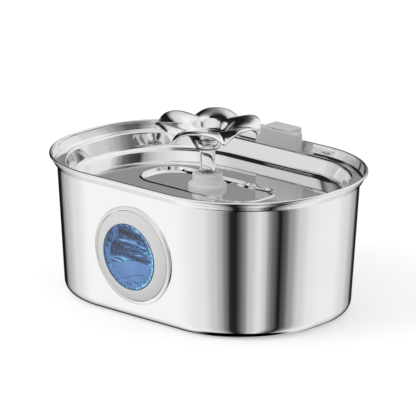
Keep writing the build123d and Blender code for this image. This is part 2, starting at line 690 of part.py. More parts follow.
with BuildPart() as cartridge_frame:
    add(obround(LEDGE_Z, SHELL_GROW, CARTRIDGE_HEIGHT))
    add(obround(FILL_Z, FILL_GROW, CARTRIDGE_HEIGHT), mode=Mode.SUBTRACT)
    with BuildSketch(Plane.XY.offset(LEDGE_Z)):
        Circle(CORE_R)
    extrude(amount=CARTRIDGE_HEIGHT)
    with BuildSketch(Plane.XY.offset(LEDGE_Z)):
        Circle(CORE_BORE_R)
    extrude(amount=CARTRIDGE_HEIGHT, mode=Mode.SUBTRACT)
    add(grille_slots(LEDGE_Z), mode=Mode.SUBTRACT)
finish(cartridge_frame, "cartridge_frame")

with BuildPart() as cartridge_grille:
    add(obround(GRILLE_Z, FILL_GROW - THREAD_CLEARANCE, CARTRIDGE_WALL, CORE_R + THREAD_CLEARANCE))
    add(grille_slots(GRILLE_Z), mode=Mode.SUBTRACT)
finish(cartridge_grille, "cartridge_grille")

with BuildPart() as filter_fleece:
    add(obround(FLEECE_Z, FILL_GROW - MEDIA_CLEARANCE, FLEECE_THICK, CORE_R + MEDIA_CLEARANCE))
finish(filter_fleece, "filter_fleece")

with BuildPart() as filter_carbon:
    add(
        obround(
            FILL_Z,
            FILL_GROW - MEDIA_CLEARANCE,
            FLEECE_Z - MEDIA_CLEARANCE - FILL_Z,
            CORE_R + MEDIA_CLEARANCE,
        )
    )
finish(filter_carbon, "filter_carbon")

# ---------------------------------------------------------------- pump
# The rotor turns about a line along X. The outlet rises on the hub's axis.
WELL_R = MAGNET_R + MAGNET_CLEARANCE
VOLUTE_R = IMPELLER_R + VOLUTE_CLEARANCE
STATOR_BORE_R = WELL_R + WELL_WALL + PUMP_GAP
STATOR_R = STATOR_BORE_R + STATOR_RING
COIL_R = STATOR_BORE_R + COIL_RING
POCKET_HEIGHT = 2 * (max(VOLUTE_R, STATOR_R, COIL_R) + PUMP_GAP)
PUMP_HEIGHT = POCKET_HEIGHT + 2 * POCKET_WALL
PUMP_WIDTH = PUMP_HEIGHT + 2 * PUMP_SIDE_ROOM
PUMP_Z = CASE_FLOOR_Z + CUP_HEIGHT
PUMP_TOP_Z = PUMP_Z + PUMP_HEIGHT
ROTOR_Z = PUMP_Z + PUMP_HEIGHT / 2
ROTOR_AXIS = Axis((0, 0, ROTOR_Z), (1, 0, 0))
ROTOR_SECTION = Plane(origin=(0, 0, ROTOR_Z), x_dir=(1, 0, 0), z_dir=(0, -1, 0))
PUMP_FRONT = SPIGOT_R + PUMP_GAP  # the outlet is over the middle of the volute
VOLUTE_END = PUMP_FRONT
FRONT_COVER_X = -PUMP_FRONT - COVER_THICK
STRAINER_X = FRONT_COVER_X - STRAINER_DEPTH
DISC_BACK = VOLUTE_END - ROTOR_PLAY
DISC_FRONT = DISC_BACK - IMPELLER_DISC
HUB_FRONT = FRONT_COVER_X + BUSH_LENGTH + ROTOR_PLAY
WELL_END = DISC_BACK + MAGNET_LENGTH + ROTOR_PLAY
SOCKET_END = WELL_END + BUSH_LENGTH
WELL_CLOSED_END = SOCKET_END + WELL_WALL
COIL_START = VOLUTE_END + POCKET_WALL + PUMP_GAP
STATOR_START = COIL_START + COIL_LENGTH
STATOR_END = STATOR_START + STATOR_LENGTH
BOARD_X = max(WELL_CLOSED_END, STATOR_END + COIL_LENGTH) + PUMP_GAP
PUMP_BACK = BOARD_X + BOARD_THICK + BOARD_ROOM


def rotor_ring(inner, outer, x_low, x_high):
    """Ring about the rotor's axis."""
    points = [(x_low, inner), (x_high, inner), (x_high, outer), (x_low, outer)]
    with BuildPart() as ring:
        revolve(profile(points, ROTOR_SECTION), axis=ROTOR_AXIS)
    return ring.part


def pump_slab(x_low, x_high, inset=0):
    """Slab with the pump's rounded outline between two stations along X."""
    with BuildPart() as slab:
        with BuildSketch(Plane.YZ.offset(x_low)):
            with Locations((0, PUMP_Z + PUMP_HEIGHT / 2)):
                RectangleRounded(
                    PUMP_WIDTH - 2 * inset, PUMP_HEIGHT - 2 * inset, PUMP_EDGE_R - inset / 2
                )
        extrude(amount=x_high - x_low)
    return slab.part


SUCTION_X = (PUMP_BACK - PUMP_FRONT) / 2
CUP_PLACES = GridLocations(SUCTION_SPAN_X, SUCTION_SPAN_Y, 2, 2).locations

with BuildPart() as pump_housing:
    add(pump_slab(-PUMP_FRONT, PUMP_BACK))
    add(pump_slab(VOLUTE_END + POCKET_WALL, PUMP_BACK, POCKET_WALL), mode=Mode.SUBTRACT)
    add(rotor_ring(0, WELL_R + WELL_WALL, VOLUTE_END, WELL_CLOSED_END))
    with BuildSketch(Plane.XY.offset(ROTOR_Z)):
        Circle(SPIGOT_R)
    extrude(amount=PUMP_TOP_Z + SPIGOT_RISE - ROTOR_Z)
    with BuildSketch(Plane.XY.offset(ROTOR_Z)):
        Circle(SPIGOT_R - SPIGOT_WALL)
    extrude(amount=PUMP_TOP_Z + SPIGOT_RISE - ROTOR_Z, mode=Mode.SUBTRACT)
    add(rotor_ring(0, VOLUTE_R, -PUMP_FRONT, VOLUTE_END), mode=Mode.SUBTRACT)
    add(rotor_ring(0, WELL_R, VOLUTE_END, WELL_END), mode=Mode.SUBTRACT)
    add(rotor_ring(0, BUSH_R + THREAD_CLEARANCE, WELL_END, SOCKET_END), mode=Mode.SUBTRACT)
    with BuildSketch(Plane.XY.offset(PUMP_Z)):
        with Locations((SUCTION_X, 0)):
            with Locations(CUP_PLACES):
                Circle(SUCTION_PEG_R + THREAD_CLEARANCE)
    extrude(amount=SUCTION_PEG_LENGTH, mode=Mode.SUBTRACT)
finish(pump_housing, "pump_housing")

GLAND_Z = PUMP_Z + POCKET_WALL + GLAND_R + GLAND_FLANGE
GLAND_AXIS = Axis((0, 0, GLAND_Z), (1, 0, 0))
GLAND_SECTION = Plane(origin=(0, 0, GLAND_Z), x_dir=(1, 0, 0), z_dir=(0, -1, 0))
COVER_END = PUMP_BACK + COVER_THICK
with BuildPart() as pump_rear_cover:
    add(pump_slab(PUMP_BACK, COVER_END))
    with BuildSketch(Plane.YZ.offset(PUMP_BACK)):
        with Locations((0, GLAND_Z)):
            Circle(GLAND_R + THREAD_CLEARANCE)
    extrude(amount=COVER_THICK, mode=Mode.SUBTRACT)
finish(pump_rear_cover, "pump_rear_cover")

with BuildPart() as cable_gland:
    revolve(
        profile(
            [
                (PUMP_BACK, GLAND_BORE_R),
                (PUMP_BACK, GLAND_R),
                (COVER_END, GLAND_R),
                (COVER_END, GLAND_R + GLAND_FLANGE),
                (COVER_END + GLAND_FLANGE, GLAND_R + GLAND_FLANGE),
                (COVER_END + GLAND_LENGTH, GLAND_BORE_R + GLAND_FLANGE),
                (COVER_END + GLAND_LENGTH, GLAND_BORE_R),
            ],
            GLAND_SECTION,
        ),
        axis=GLAND_AXIS,
    )
finish(cable_gland, "cable_gland")

with BuildPart() as volute_cover:
    add(pump_slab(FRONT_COVER_X, -PUMP_FRONT))
    add(rotor_ring(0, EYE_R, FRONT_COVER_X, -PUMP_FRONT), mode=Mode.SUBTRACT)
    with BuildSketch(Plane.YZ.offset(FRONT_COVER_X)):
        with Locations((0, ROTOR_Z)):
            Rectangle(2 * EYE_R + SPIDER_WIDTH, SPIDER_WIDTH)
            Rectangle(SPIDER_WIDTH, 2 * EYE_R + SPIDER_WIDTH)
            Circle(BUSH_R + SPIDER_WIDTH / 2)
            Circle(BUSH_R + THREAD_CLEARANCE, mode=Mode.SUBTRACT)
    extrude(amount=COVER_THICK)
finish(volute_cover, "volute_cover")

with BuildPart() as front_bush:
    add(rotor_ring(SHAFT_R, BUSH_R, FRONT_COVER_X, FRONT_COVER_X + BUSH_LENGTH))
finish(front_bush, "front_bush")

with BuildPart() as rear_bush:
    add(rotor_ring(SHAFT_R, BUSH_R, WELL_END, SOCKET_END))
finish(rear_bush, "rear_bush")

with BuildPart() as rotor_shaft:
    add(rotor_ring(0, SHAFT_R, FRONT_COVER_X, SOCKET_END))
finish(rotor_shaft, "rotor_shaft")

ROTOR_BORE_R = SHAFT_R + SHAFT_CLEARANCE
with BuildPart() as impeller:
    add(rotor_ring(0, IMPELLER_R, DISC_FRONT, DISC_BACK))
    add(rotor_ring(0, IMPELLER_HUB_R, HUB_FRONT, DISC_BACK))
    with BuildSketch(Plane.YZ.offset(DISC_BACK - IMPELLER_DEPTH)):
        with Locations((0, ROTOR_Z)):
            with PolarLocations(0, BLADE_COUNT):
                Rectangle(IMPELLER_R - BLADE_THICK / 2, BLADE_THICK, align=(Align.MIN, Align.CENTER))
    extrude(amount=IMPELLER_DEPTH - IMPELLER_DISC)
    add(rotor_ring(0, ROTOR_BORE_R, HUB_FRONT, DISC_BACK), mode=Mode.SUBTRACT)
finish(impeller, "impeller")

with BuildPart() as rotor_magnet:
    add(rotor_ring(ROTOR_BORE_R, MAGNET_R, DISC_BACK, DISC_BACK + MAGNET_LENGTH))
finish(rotor_magnet, "rotor_magnet")

# The stator sits round the rotor's well, with its winding on both ends and the board behind it.
with BuildPart() as stator_core:
    add(rotor_ring(STATOR_BORE_R, STATOR_R, STATOR_START, STATOR_END))
    with BuildSketch(Plane.YZ.offset(STATOR_START)):
        with Locations((0, ROTOR_Z)):
            with PolarLocations(STATOR_R, STATOR_SLOTS):
                Rectangle(2 * STATOR_SLOT_DEPTH, STATOR_SLOT_WIDTH)
    extrude(amount=STATOR_LENGTH, mode=Mode.SUBTRACT)
finish(stator_core, "stator_core")

with BuildPart() as stator_winding:
    add(rotor_ring(STATOR_BORE_R, COIL_R, COIL_START, STATOR_START))
    add(rotor_ring(STATOR_BORE_R, COIL_R, STATOR_END, STATOR_END + COIL_LENGTH))
finish(stator_winding, "stator_winding")

BOARD_SIZE = POCKET_HEIGHT - 2 * BOARD_MARGIN
with BuildPart() as driver_board:
    with Locations((BOARD_X + BOARD_THICK / 2, 0, ROTOR_Z)):
        Box(BOARD_THICK, BOARD_SIZE, BOARD_SIZE)
finish(driver_board, "driver_board")

# The intake cover's slots are opened or closed by a slider that runs behind two lipped rails.
REGULATOR_X = STRAINER_X - SLIDE_CLEARANCE - REGULATOR_THICK
RAIL_X = REGULATOR_X - SLIDE_CLEARANCE - RAIL_THICK
REGULATOR_Z = ROTOR_Z - STRAINER_SLOT_RISE / 2  # slider's low edge
REGULATOR_WIDTH = STRAINER_SLOT_PITCH * (STRAINER_SLOTS - 1) + STRAINER_SLOT_WIDTH + 2 * REGULATOR_SIDE
RAIL_TOP_Z = ROTOR_Z + STRAINER_SLOT_RISE / 2
RAIL_Y = REGULATOR_WIDTH / 2 + SLIDE_CLEARANCE
with BuildPart() as intake_cover:
    add(pump_slab(STRAINER_X, FRONT_COVER_X))
    add(pump_slab(STRAINER_X + STRAINER_WALL, FRONT_COVER_X, STRAINER_WALL), mode=Mode.SUBTRACT)
    with BuildSketch(Plane.YZ.offset(STRAINER_X)):
        with Locations((0, ROTOR_Z)):
            with GridLocations(STRAINER_SLOT_PITCH, 0, STRAINER_SLOTS, 1):
                SlotOverall(STRAINER_SLOT_RISE, STRAINER_SLOT_WIDTH, rotation=90)
    extrude(amount=STRAINER_WALL, mode=Mode.SUBTRACT)
    rail_rise = RAIL_TOP_Z - REGULATOR_Z
    for side in (-1, 1):
        with BuildSketch(Plane.XY.offset(REGULATOR_Z)):
            with Locations(((RAIL_X + STRAINER_X) / 2, side * (RAIL_Y + RAIL_THICK / 2))):
                Rectangle(STRAINER_X - RAIL_X, RAIL_THICK)
            with Locations((RAIL_X + RAIL_THICK / 2, side * RAIL_Y)):
                Rectangle(RAIL_THICK, 2 * RAIL_THICK)
        extrude(amount=rail_rise)
finish(intake_cover, "intake_cover")

with BuildPart() as flow_regulator:
    with BuildSketch(Plane.XY.offset(REGULATOR_Z)):
        with Locations((REGULATOR_X + REGULATOR_THICK / 2, 0)):
            Rectangle(REGULATOR_THICK, REGULATOR_WIDTH)
        with Locations((REGULATOR_X, 0)):
            Rectangle(2 * RAIL_THICK, REGULATOR_KNOB)
    extrude(amount=REGULATOR_HEIGHT)
    with BuildSketch(Plane.XY.offset(REGULATOR_Z)):
        with Locations((REGULATOR_X + REGULATOR_THICK + RAIL_THICK, 0)):
            Rectangle(2 * RAIL_THICK, REGULATOR_WIDTH)
    extrude(amount=REGULATOR_HEIGHT, mode=Mode.SUBTRACT)
finish(flow_regulator, "flow_regulator")

FOAM_X = RAIL_X - PUMP_GAP
with BuildPart() as prefilter_foam:
    with Locations((FOAM_X - FOAM_THICK / 2, 0, (CASE_FLOOR_Z + PUMP_TOP_Z) / 2)):
        Box(FOAM_THICK, PUMP_WIDTH, PUMP_TOP_Z - CASE_FLOOR_Z)
    fillet(prefilter_foam.edges().filter_by(Axis.X), PUMP_EDGE_R)
finish(prefilter_foam, "prefilter_foam")

# Four suction cups carry the pump on the case's floor.
cup_section = [
    (0, PUMP_Z + SUCTION_PEG_LENGTH),
    (0, CASE_FLOOR_Z + SUCTION_HOLLOW),
    (SUCTION_CUP_R - SUCTION_CUP_EDGE, CASE_FLOOR_Z),
    (SUCTION_CUP_R, CASE_FLOOR_Z),
    (SUCTION_PEG_R, PUMP_Z - SUCTION_CUP_EDGE),
    (SUCTION_NECK_R, PUMP_Z),
    (SUCTION_PEG_R, PUMP_Z),
    (SUCTION_PEG_R, PUMP_Z + SUCTION_PEG_LENGTH),
]
with BuildPart() as suction_cup:
    revolve(profile(cup_section))
with BuildPart() as suction_cups:
    with Locations((SUCTION_X, 0, 0)):
        with Locations(CUP_PLACES):
            add(suction_cup.part)
finish(suction_cups, "suction_cups")

RISER_LOW_Z = PUMP_TOP_Z + SPIGOT_RISE - RISER_GRIP
RISER_TOP_Z = SLEEVE_END_Z + RISER_ENTRY
with BuildPart() as riser_pipe:
    revolve(profile(rectangle_points(RISER_BORE_R, RISER_R, RISER_LOW_Z, RISER_TOP_Z)))
finish(riser_pipe, "riser_pipe")
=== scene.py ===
# %% [markdown]
# # A pet water fountain in polished steel
# The tank, the drinking tray and the petalled spout of this fountain are drawn from mirror-polished
# steel sheet. Nearly all that the eye sees of such steel is the room around it, so the shapes have
# to be smooth and the studio has to give them something to mirror. The CAD model comes in first as a
# fixed frame. Every piece that is modelled here rides on one of its bodies.

import json
import math

import bmesh
import bpy
from mathutils import Matrix, Vector


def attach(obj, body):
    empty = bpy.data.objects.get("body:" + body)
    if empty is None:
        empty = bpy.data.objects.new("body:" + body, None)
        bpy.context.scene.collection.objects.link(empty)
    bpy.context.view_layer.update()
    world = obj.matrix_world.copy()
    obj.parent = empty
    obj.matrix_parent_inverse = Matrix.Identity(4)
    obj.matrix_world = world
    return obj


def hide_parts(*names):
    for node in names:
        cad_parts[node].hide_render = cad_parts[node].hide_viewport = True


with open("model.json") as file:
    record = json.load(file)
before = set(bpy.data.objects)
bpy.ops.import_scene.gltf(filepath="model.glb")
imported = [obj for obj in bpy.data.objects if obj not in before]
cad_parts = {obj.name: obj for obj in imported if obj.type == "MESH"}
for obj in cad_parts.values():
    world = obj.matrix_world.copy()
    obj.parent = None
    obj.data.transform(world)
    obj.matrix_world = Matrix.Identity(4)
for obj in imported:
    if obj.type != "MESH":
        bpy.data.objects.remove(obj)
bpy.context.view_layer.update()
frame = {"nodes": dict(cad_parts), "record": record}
nodes = frame["nodes"]

# %% [markdown]
# ## The camera
# The camera stands to the right of the window and looks slightly down. A long lens from three metres
# keeps the rim's two long edges nearly parallel. Its place and turn are given as three directions
# and a point, which is easier to check than three angles.

# %% Camera
CAMERA_PLACE = (1.8874, -2.1085, 0.9053)
CAMERA_RIGHT = (0.7442, 0.6680, 0.0053)
CAMERA_UP = (-0.1930, 0.2073, 0.9590)
IMAGE_SIDE = 416
FOCAL_PIXELS = 3949.8
SENSOR_WIDTH = 36.0
VIEW_DEPTH = 50

right = Vector(CAMERA_RIGHT).normalized()
back = right.cross(Vector(CAMERA_UP)).normalized()
up = back.cross(right)
turn = Matrix((right, up, back)).transposed()
camera_data = bpy.data.cameras.new("camera")
camera_data.sensor_width = SENSOR_WIDTH
camera_data.lens = FOCAL_PIXELS * SENSOR_WIDTH / IMAGE_SIDE
camera_data.clip_end = VIEW_DEPTH
camera = bpy.data.objects.new("camera", camera_data)
camera.matrix_world = Matrix.Translation(CAMERA_PLACE) @ turn.to_4x4()
bpy.context.scene.collection.objects.link(camera)
bpy.context.scene.camera = camera
print("lens in mm:", round(camera_data.lens, 1))

# %% [markdown]
# ## The studio
# A studio lights polished steel with large soft boxes and hangs black cards between them, because a
# mirror that sees only white looks flat. The world does both jobs here. Rays that leave a glossy
# surface meet six rings of soft boxes and cards, one above the other. All others meet an even white,
# so the lamps don't burn out the pale plastics. A ring is its brightness round the horizon, with 0
# degrees straight behind the fountain and positive angles to the right. The lowest stands for the
# light table, and all below it is black.

# %% Node helpers
def set_inputs(node, **inputs):
    """Sets a node's inputs by name, with _ for a space."""
    for name, value in inputs.items():
        node.inputs[name.replace("_", " ")].default_value = value


def new_node(tree, kind, **inputs):
    node = tree.nodes.new(kind)
    set_inputs(node, **inputs)
    return node


def math_node(tree, operation, *operands):
    """Adds a Math node and returns its output. An operand is a socket or a number."""
    node = tree.nodes.new("ShaderNodeMath")
    node.operation = operation
    for socket, value in zip(node.inputs, operands):
        if isinstance(value, (int, float)):
            socket.default_value = value
        else:
            tree.links.new(value, socket)
    return node.outputs[0]


def vector_node(tree, operation, first, second=None):
    """Adds a Vector Math node on a socket and, where given, three numbers."""
    node = tree.nodes.new("ShaderNodeVectorMath")
    node.operation = operation
    tree.links.new(first, node.inputs[0])
    if second is not None:
        node.inputs[1].default_value = second
    return node


def range_node(tree, value, low, high, interpolation="SMOOTHSTEP"):
    """0 at the first number and 1 at the second, with a soft step between unless told otherwise."""
    node = new_node(tree, "ShaderNodeMapRange", From_Min=low, From_Max=high)
    node.interpolation_type = interpolation
    tree.links.new(value, node.inputs["Value"])
    return node.outputs["Result"]


def ramp_node(tree, factor, stops, interpolation="LINEAR"):
    """Adds a Color Ramp with (position, grey or colour) stops and returns its colour output."""
    node = tree.nodes.new("ShaderNodeValToRGB")
    node.color_ramp.interpolation = interpolation
    elements = node.color_ramp.elements
    while len(elements) > 1:
        elements.remove(elements[-1])
    for number, (position, colour) in enumerate(stops):
        element = elements[0] if number == 0 else elements.new(position)
        element.position = position
        if isinstance(colour, (int, float)):
            colour = (colour, colour, colour)
        element.color = (*colour, 1)
    tree.links.new(factor, node.inputs[0])
    return node.outputs[0]


def blend_node(tree, factor, first, second):
    """Mixes two colours, each a socket, a grey or three numbers, by a socket or a number."""
    node = tree.nodes.new("ShaderNodeMix")
    node.data_type = "RGBA"
    sockets = node.inputs[0], node.inputs[6], node.inputs[7]
    for socket, value in zip(sockets, (factor, first, second)):
        if hasattr(value, "links"):
            tree.links.new(value, socket)
        elif isinstance(value, (int, float)):
            socket.default_value = value if socket is sockets[0] else (value, value, value, 1)
        else:
            socket.default_value = (*value, 1)
    return node.outputs[2]


def open_view(tree, paths):
    """1 for rays that look at the studio itself, straight or through clear plastic."""
    camera, clear = paths.outputs["Is Camera Ray"], paths.outputs["Is Transmission Ray"]
    return math_node(tree, "MAXIMUM", camera, clear)


print("node helpers ready")

# %% The rings of soft boxes and black cards
LOW_RING = (
    (-180, 0.22), (-175, 0.08), (-171, 0.015), (-165, 0.02), (-159, 0.20), (-153, 0.43),
    (-146, 0.60), (-130, 0.81), (-92, 0.96), (-66, 0.76), (-45, 0.50), (-36, 0.32),
    (-28, 0.01), (-10, 0.01), (-4, 0.29), (6, 0.16), (11, 0.01), (24, 0.02), (37, 0.45),
    (55, 0.72), (78, 0.88), (96, 0.82), (111, 0.66), (124, 0.32), (132, 0.09), (138, 0.01),
    (146, 0.14), (150, 0.27), (156, 0.62), (162, 0.77), (173, 0.56), (180, 0.22),
)
MIDDLE_RING = (
    (-180, 0.62), (-166, 0.74), (-152, 0.80), (-110, 0.74), (-88, 0.78), (-76, 0.66),
    (-64, 0.52), (-52, 0.40), (-42, 0.16), (-34, 0.03), (-28, 0.01), (-7, 0.01), (-2, 0.29),
    (3, 0.28), (7, 0.16), (10, 0.10), (16, 0.52), (24, 0.68), (36, 0.82), (58, 0.80), (75, 0.78),
    (84, 0.66), (95, 0.53), (105, 0.42), (115, 0.26), (125, 0.15), (138, 0.15), (150, 0.27),
    (160, 0.52), (180, 0.62),
)
UPPER_RING = (
    (-180, 0.62), (-165, 0.78), (-152, 0.78), (-125, 0.66), (-105, 0.70), (-84, 0.70), (-66, 0.55),
    (-50, 0.34), (-38, 0.18), (-30, 0.01), (-12, 0.01), (-5, 0.16), (2, 0.46), (8, 0.66),
    (16, 0.74), (26, 0.80), (40, 0.92), (56, 0.80), (76, 0.80), (86, 0.70), (95, 0.56),
    (105, 0.40), (115, 0.26), (125, 0.12), (138, 0.10), (150, 0.28), (160, 0.50), (170, 0.58),
    (180, 0.62),
)
HIGH_RING = (
    (-180, 0.82), (-168, 0.92), (-155, 0.95), (-145, 0.95), (-134, 0.86), (-108, 0.84),
    (-91, 0.75), (-84, 0.70), (-77, 0.58), (-71, 0.02), (-13, 0.01), (-9, 0.06), (-4, 0.24),
    (1, 0.48), (7, 0.68), (14, 0.80), (25, 0.90), (45, 0.96), (65, 0.94), (76, 0.86), (85, 0.62),
    (93, 0.34), (102, 0.14), (115, 0.07), (127, 0.04), (136, 0.40), (148, 0.60), (158, 0.72),
    (180, 0.82),
)
TOP_RING = (
    (-180, 0.78), (-160, 0.82), (-140, 0.80), (-118, 0.80), (-102, 0.78), (-92, 0.72), (-85, 0.40),
    (-78, 0.03), (-18, 0.01), (-10, 0.08), (-4, 0.32), (5, 0.60), (15, 0.78), (28, 0.85),
    (50, 0.90), (80, 0.88), (94, 0.80), (106, 0.70), (118, 0.68), (130, 0.74), (142, 0.82),
    (160, 0.80), (180, 0.78),
)
TABLE_GLARE, GLARE_START, GLARE_END = 0.6, 4, 50
TABLE_RING = tuple(
    (angle, max(level, TABLE_GLARE) if GLARE_START < angle < GLARE_END else level)
    for angle, level in LOW_RING
)
# The elevations in degrees over which one ring gives way to the next.
TO_MIDDLE, TO_UPPER, TO_HIGH, TO_TOP = (-4, 8), (18, 24), (33, 39), (50, 62)
FROM_TABLE, FROM_BLACK = (-46, -34), (-68, -58)
SCENE_WHITE = 1.0
FILL_STRENGTH = 0.82

world = bpy.data.worlds.new("studio")
bpy.context.scene.world = world
world.use_nodes = True
tree = world.node_tree
tree.nodes.clear()
behind = Vector((-back.x, -back.y, 0)).normalized()
beside = Vector((behind.y, -behind.x, 0))
direction = tree.nodes.new("ShaderNodeTexCoord").outputs["Generated"]
ahead, across, height = (
    vector_node(tree, "DOT_PRODUCT", direction, axis).outputs["Value"]
    for axis in (behind, beside, Vector((0, 0, 1)))
)
angle = math_node(tree, "ARCTAN2", across, ahead)
turned = math_node(tree, "MULTIPLY_ADD", angle, 1 / (2 * math.pi), 0.5)


def ring_light(ring):
    """The brightness of one ring in the direction of the ray."""
    stops = [((degrees + 180) / 360, level) for degrees, level in ring]
    return ramp_node(tree, turned, stops, "EASE")


def rising(elevations):
    """0 below the first elevation and 1 above the second."""
    return range_node(tree, height, *(math.sin(math.radians(degrees)) for degrees in elevations))


studio_light = ring_light(LOW_RING)
for ring, step in (
    (MIDDLE_RING, TO_MIDDLE), (UPPER_RING, TO_UPPER), (HIGH_RING, TO_HIGH), (TOP_RING, TO_TOP),
):
    studio_light = blend_node(tree, rising(step), studio_light, ring_light(ring))
    print("ring of", len(ring), "stops from", step[0], "degrees up")
studio_light = blend_node(tree, rising(FROM_TABLE), ring_light(TABLE_RING), studio_light)
studio_light = blend_node(tree, rising(FROM_BLACK), 0.0, studio_light)
paths = tree.nodes.new("ShaderNodeLightPath")
seen = blend_node(tree, paths.outputs["Is Glossy Ray"], FILL_STRENGTH, studio_light)
seen = blend_node(tree, open_view(tree, paths), seen, SCENE_WHITE)
background = new_node(tree, "ShaderNodeBackground")
tree.links.new(seen, background.inputs["Color"])
output = tree.nodes.new("ShaderNodeOutputWorld")
tree.links.new(background.outputs[0], output.inputs["Surface"])

# %% [markdown]
# One broad lamp from the front left gives the plastics a soft direction of light. It is left out of
# reflections, because the rings already give the steel its bright areas.

# %% Lamp and floor
LAMP_PLACE = (-0.9, -1.7, 1.5)
LAMP_SIDE = 1.4
LAMP_WATTS = 14
lamp_data = bpy.data.lights.new("soft_lamp", "AREA")
lamp_data.size = LAMP_SIDE
lamp_data.energy = LAMP_WATTS
lamp = bpy.data.objects.new("soft_lamp", lamp_data)
lamp.location = LAMP_PLACE
lamp.rotation_euler = (-Vector(LAMP_PLACE)).to_track_quat("-Z", "Y").to_euler()
lamp.visible_glossy = False
bpy.context.scene.collection.objects.link(lamp)

FLOOR_SIDE = 12
FLOOR_GREY = 0.80
FLOOR_GLOW = 0.34
FLOOR_GAP = 0.0002
FLOOR_ROUGHNESS = 0.9
bpy.ops.object.select_all(action="DESELECT")
bpy.ops.mesh.primitive_plane_add(size=FLOOR_SIDE, location=(0, 0, -FLOOR_GAP))
floor = bpy.context.object
floor.name = "floor"
floor.visible_glossy = False
floor_paint = bpy.data.materials.new("studio_floor")
floor_paint.use_nodes = True
tree = floor_paint.node_tree
shader = tree.nodes["Principled BSDF"]
set_inputs(
    shader, Base_Color=(FLOOR_GREY, FLOOR_GREY, FLOOR_GREY, 1), Roughness=FLOOR_ROUGHNESS,
    Specular_IOR_Level=0, Emission_Color=(1, 1, 1, 1),
)
paths = tree.nodes.new("ShaderNodeLightPath")
glow = math_node(tree, "MULTIPLY", open_view(tree, paths), FLOOR_GLOW)
tree.links.new(glow, shader.inputs["Emission Strength"])
floor.data.materials.append(floor_paint)
bpy.context.scene.view_settings.view_transform = "Standard"
print("lamp of", LAMP_WATTS, "watts, floor of", FLOOR_SIDE, "metres")

# %% [markdown]
# ## Tools for drawing the shapes
# Two kinds of shape make up the steel. The tank and tray are rings of the same rounded rectangle,
# larger or smaller, at many heights, bridged one to the next. The round parts are a drawn section
# that is spun about its axis. A few short tools do this with the same operators as by hand.

# %% Selection tools
CORNER_STEPS = 36
NEAR = 2e-5


def nothing_selected():
    """Leaves edit mode and deselects everything."""
    if bpy.context.object and bpy.context.object.mode != "OBJECT":
        bpy.ops.object.mode_set(mode="OBJECT")
    bpy.ops.object.select_all(action="DESELECT")


def only(piece):
    """Makes a piece the one selected and active object."""
    nothing_selected()
    piece.select_set(True)
    bpy.context.view_layer.objects.active = piece


def begin(name):
    """A new mesh object with one point at the origin, in edit mode."""
    nothing_selected()
    bpy.ops.mesh.primitive_plane_add(size=0.001)
    piece = bpy.context.object
    piece.name = name
    piece.data.name = name
    bpy.ops.object.mode_set(mode="EDIT")
    bpy.ops.mesh.select_mode(type="VERT")
    bpy.ops.mesh.select_all(action="SELECT")
    bpy.ops.mesh.merge(type="CENTER")
    return piece


def select_none(kind):
    """Deselects all, in the mode for points or for edges."""
    bpy.ops.mesh.select_mode(type=kind)
    bpy.ops.mesh.select_all(action="DESELECT")


def pick(piece, test):
    """Selects the points that pass the test, and the edges and faces between them."""
    select_none("VERT")
    shape = bmesh.from_edit_mesh(piece.data)
    for point in shape.verts:
        if test(point.co):
            point.select = True
    shape.select_flush(True)
    bmesh.update_edit_mesh(piece.data)


def pick_edges(piece, test):
    """Selects the edges whose two ends pass the test together."""
    select_none("EDGE")
    shape = bmesh.from_edit_mesh(piece.data)
    for edge in shape.edges:
        edge.select = test(*(end.co for end in edge.verts))
    bmesh.update_edit_mesh(piece.data)


def face_outwards():
    """Turns all faces of a closed shape outwards."""
    bpy.ops.mesh.select_all(action="SELECT")
    bpy.ops.mesh.normals_make_consistent(inside=False)


def apply_modifier(piece, kind, **settings):
    """Adds a modifier, sets it and applies it."""
    only(piece)
    modifier = piece.modifiers.new(kind.lower(), kind)
    for name, value in settings.items():
        setattr(modifier, name, value)
    bpy.ops.object.modifier_apply(modifier=modifier.name)


dressed = set()


def done(piece, body, material, replaced, smooth_angle=35):
    """Shades, dresses and registers a finished piece, and notes the nodes that it replaces."""
    only(piece)
    bpy.ops.object.transform_apply(location=True, rotation=True, scale=True)
    bpy.ops.object.shade_smooth_by_angle(angle=math.radians(smooth_angle))
    piece.data.materials.clear()
    piece.data.materials.append(material)
    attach(piece, body)
    for node in replaced:
        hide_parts(node)
    dressed.update(replaced)
    print(piece.name, len(piece.data.polygons), "faces")


print("selection tools ready")


# %% Rings of a rounded rectangle
def core_distance(point, core):
    """Distance in plan from the rectangle that a ring is drawn round."""
    return math.hypot(max(abs(point.x) - core[0], 0), max(abs(point.y) - core[1], 0))


def add_ring(core, radius, height):
    """Adds an outline at a radius round a core rectangle: a plane with its corners bevelled."""
    select_none("VERT")
    bpy.ops.mesh.primitive_plane_add(size=2, location=(0, 0, height))
    bpy.ops.transform.resize(value=(core[0] + radius, core[1] + radius, 1))
    bpy.ops.mesh.bevel(
        affect="VERTICES", offset_type="OFFSET", offset=radius, segments=CORNER_STEPS,
        profile=0.5, clamp_overlap=False,
    )
    bpy.ops.mesh.delete(type="ONLY_FACE")


def on_ring(point, ring):
    core, radius, height = ring
    return abs(point.z - height) < NEAR and abs(core_distance(point, core) - radius) < NEAR


def bridge(piece, first, second):
    """Faces between two rings."""
    pick(piece, lambda point: on_ring(point, first) or on_ring(point, second))
    bpy.ops.mesh.bridge_edge_loops()


def cap(piece, ring):
    """One flat face inside a ring."""
    pick(piece, lambda point: on_ring(point, ring))
    bpy.ops.mesh.edge_face_add()


def ringed(name, rings):
    """A piece of bridged rings. Each ring is a core rectangle, a radius and a height."""
    piece = begin(name)
    bpy.ops.mesh.delete(type="VERT")
    for ring in rings:
        add_ring(*ring)
    for first, second in zip(rings, rings[1:]):
        bridge(piece, first, second)
    return piece


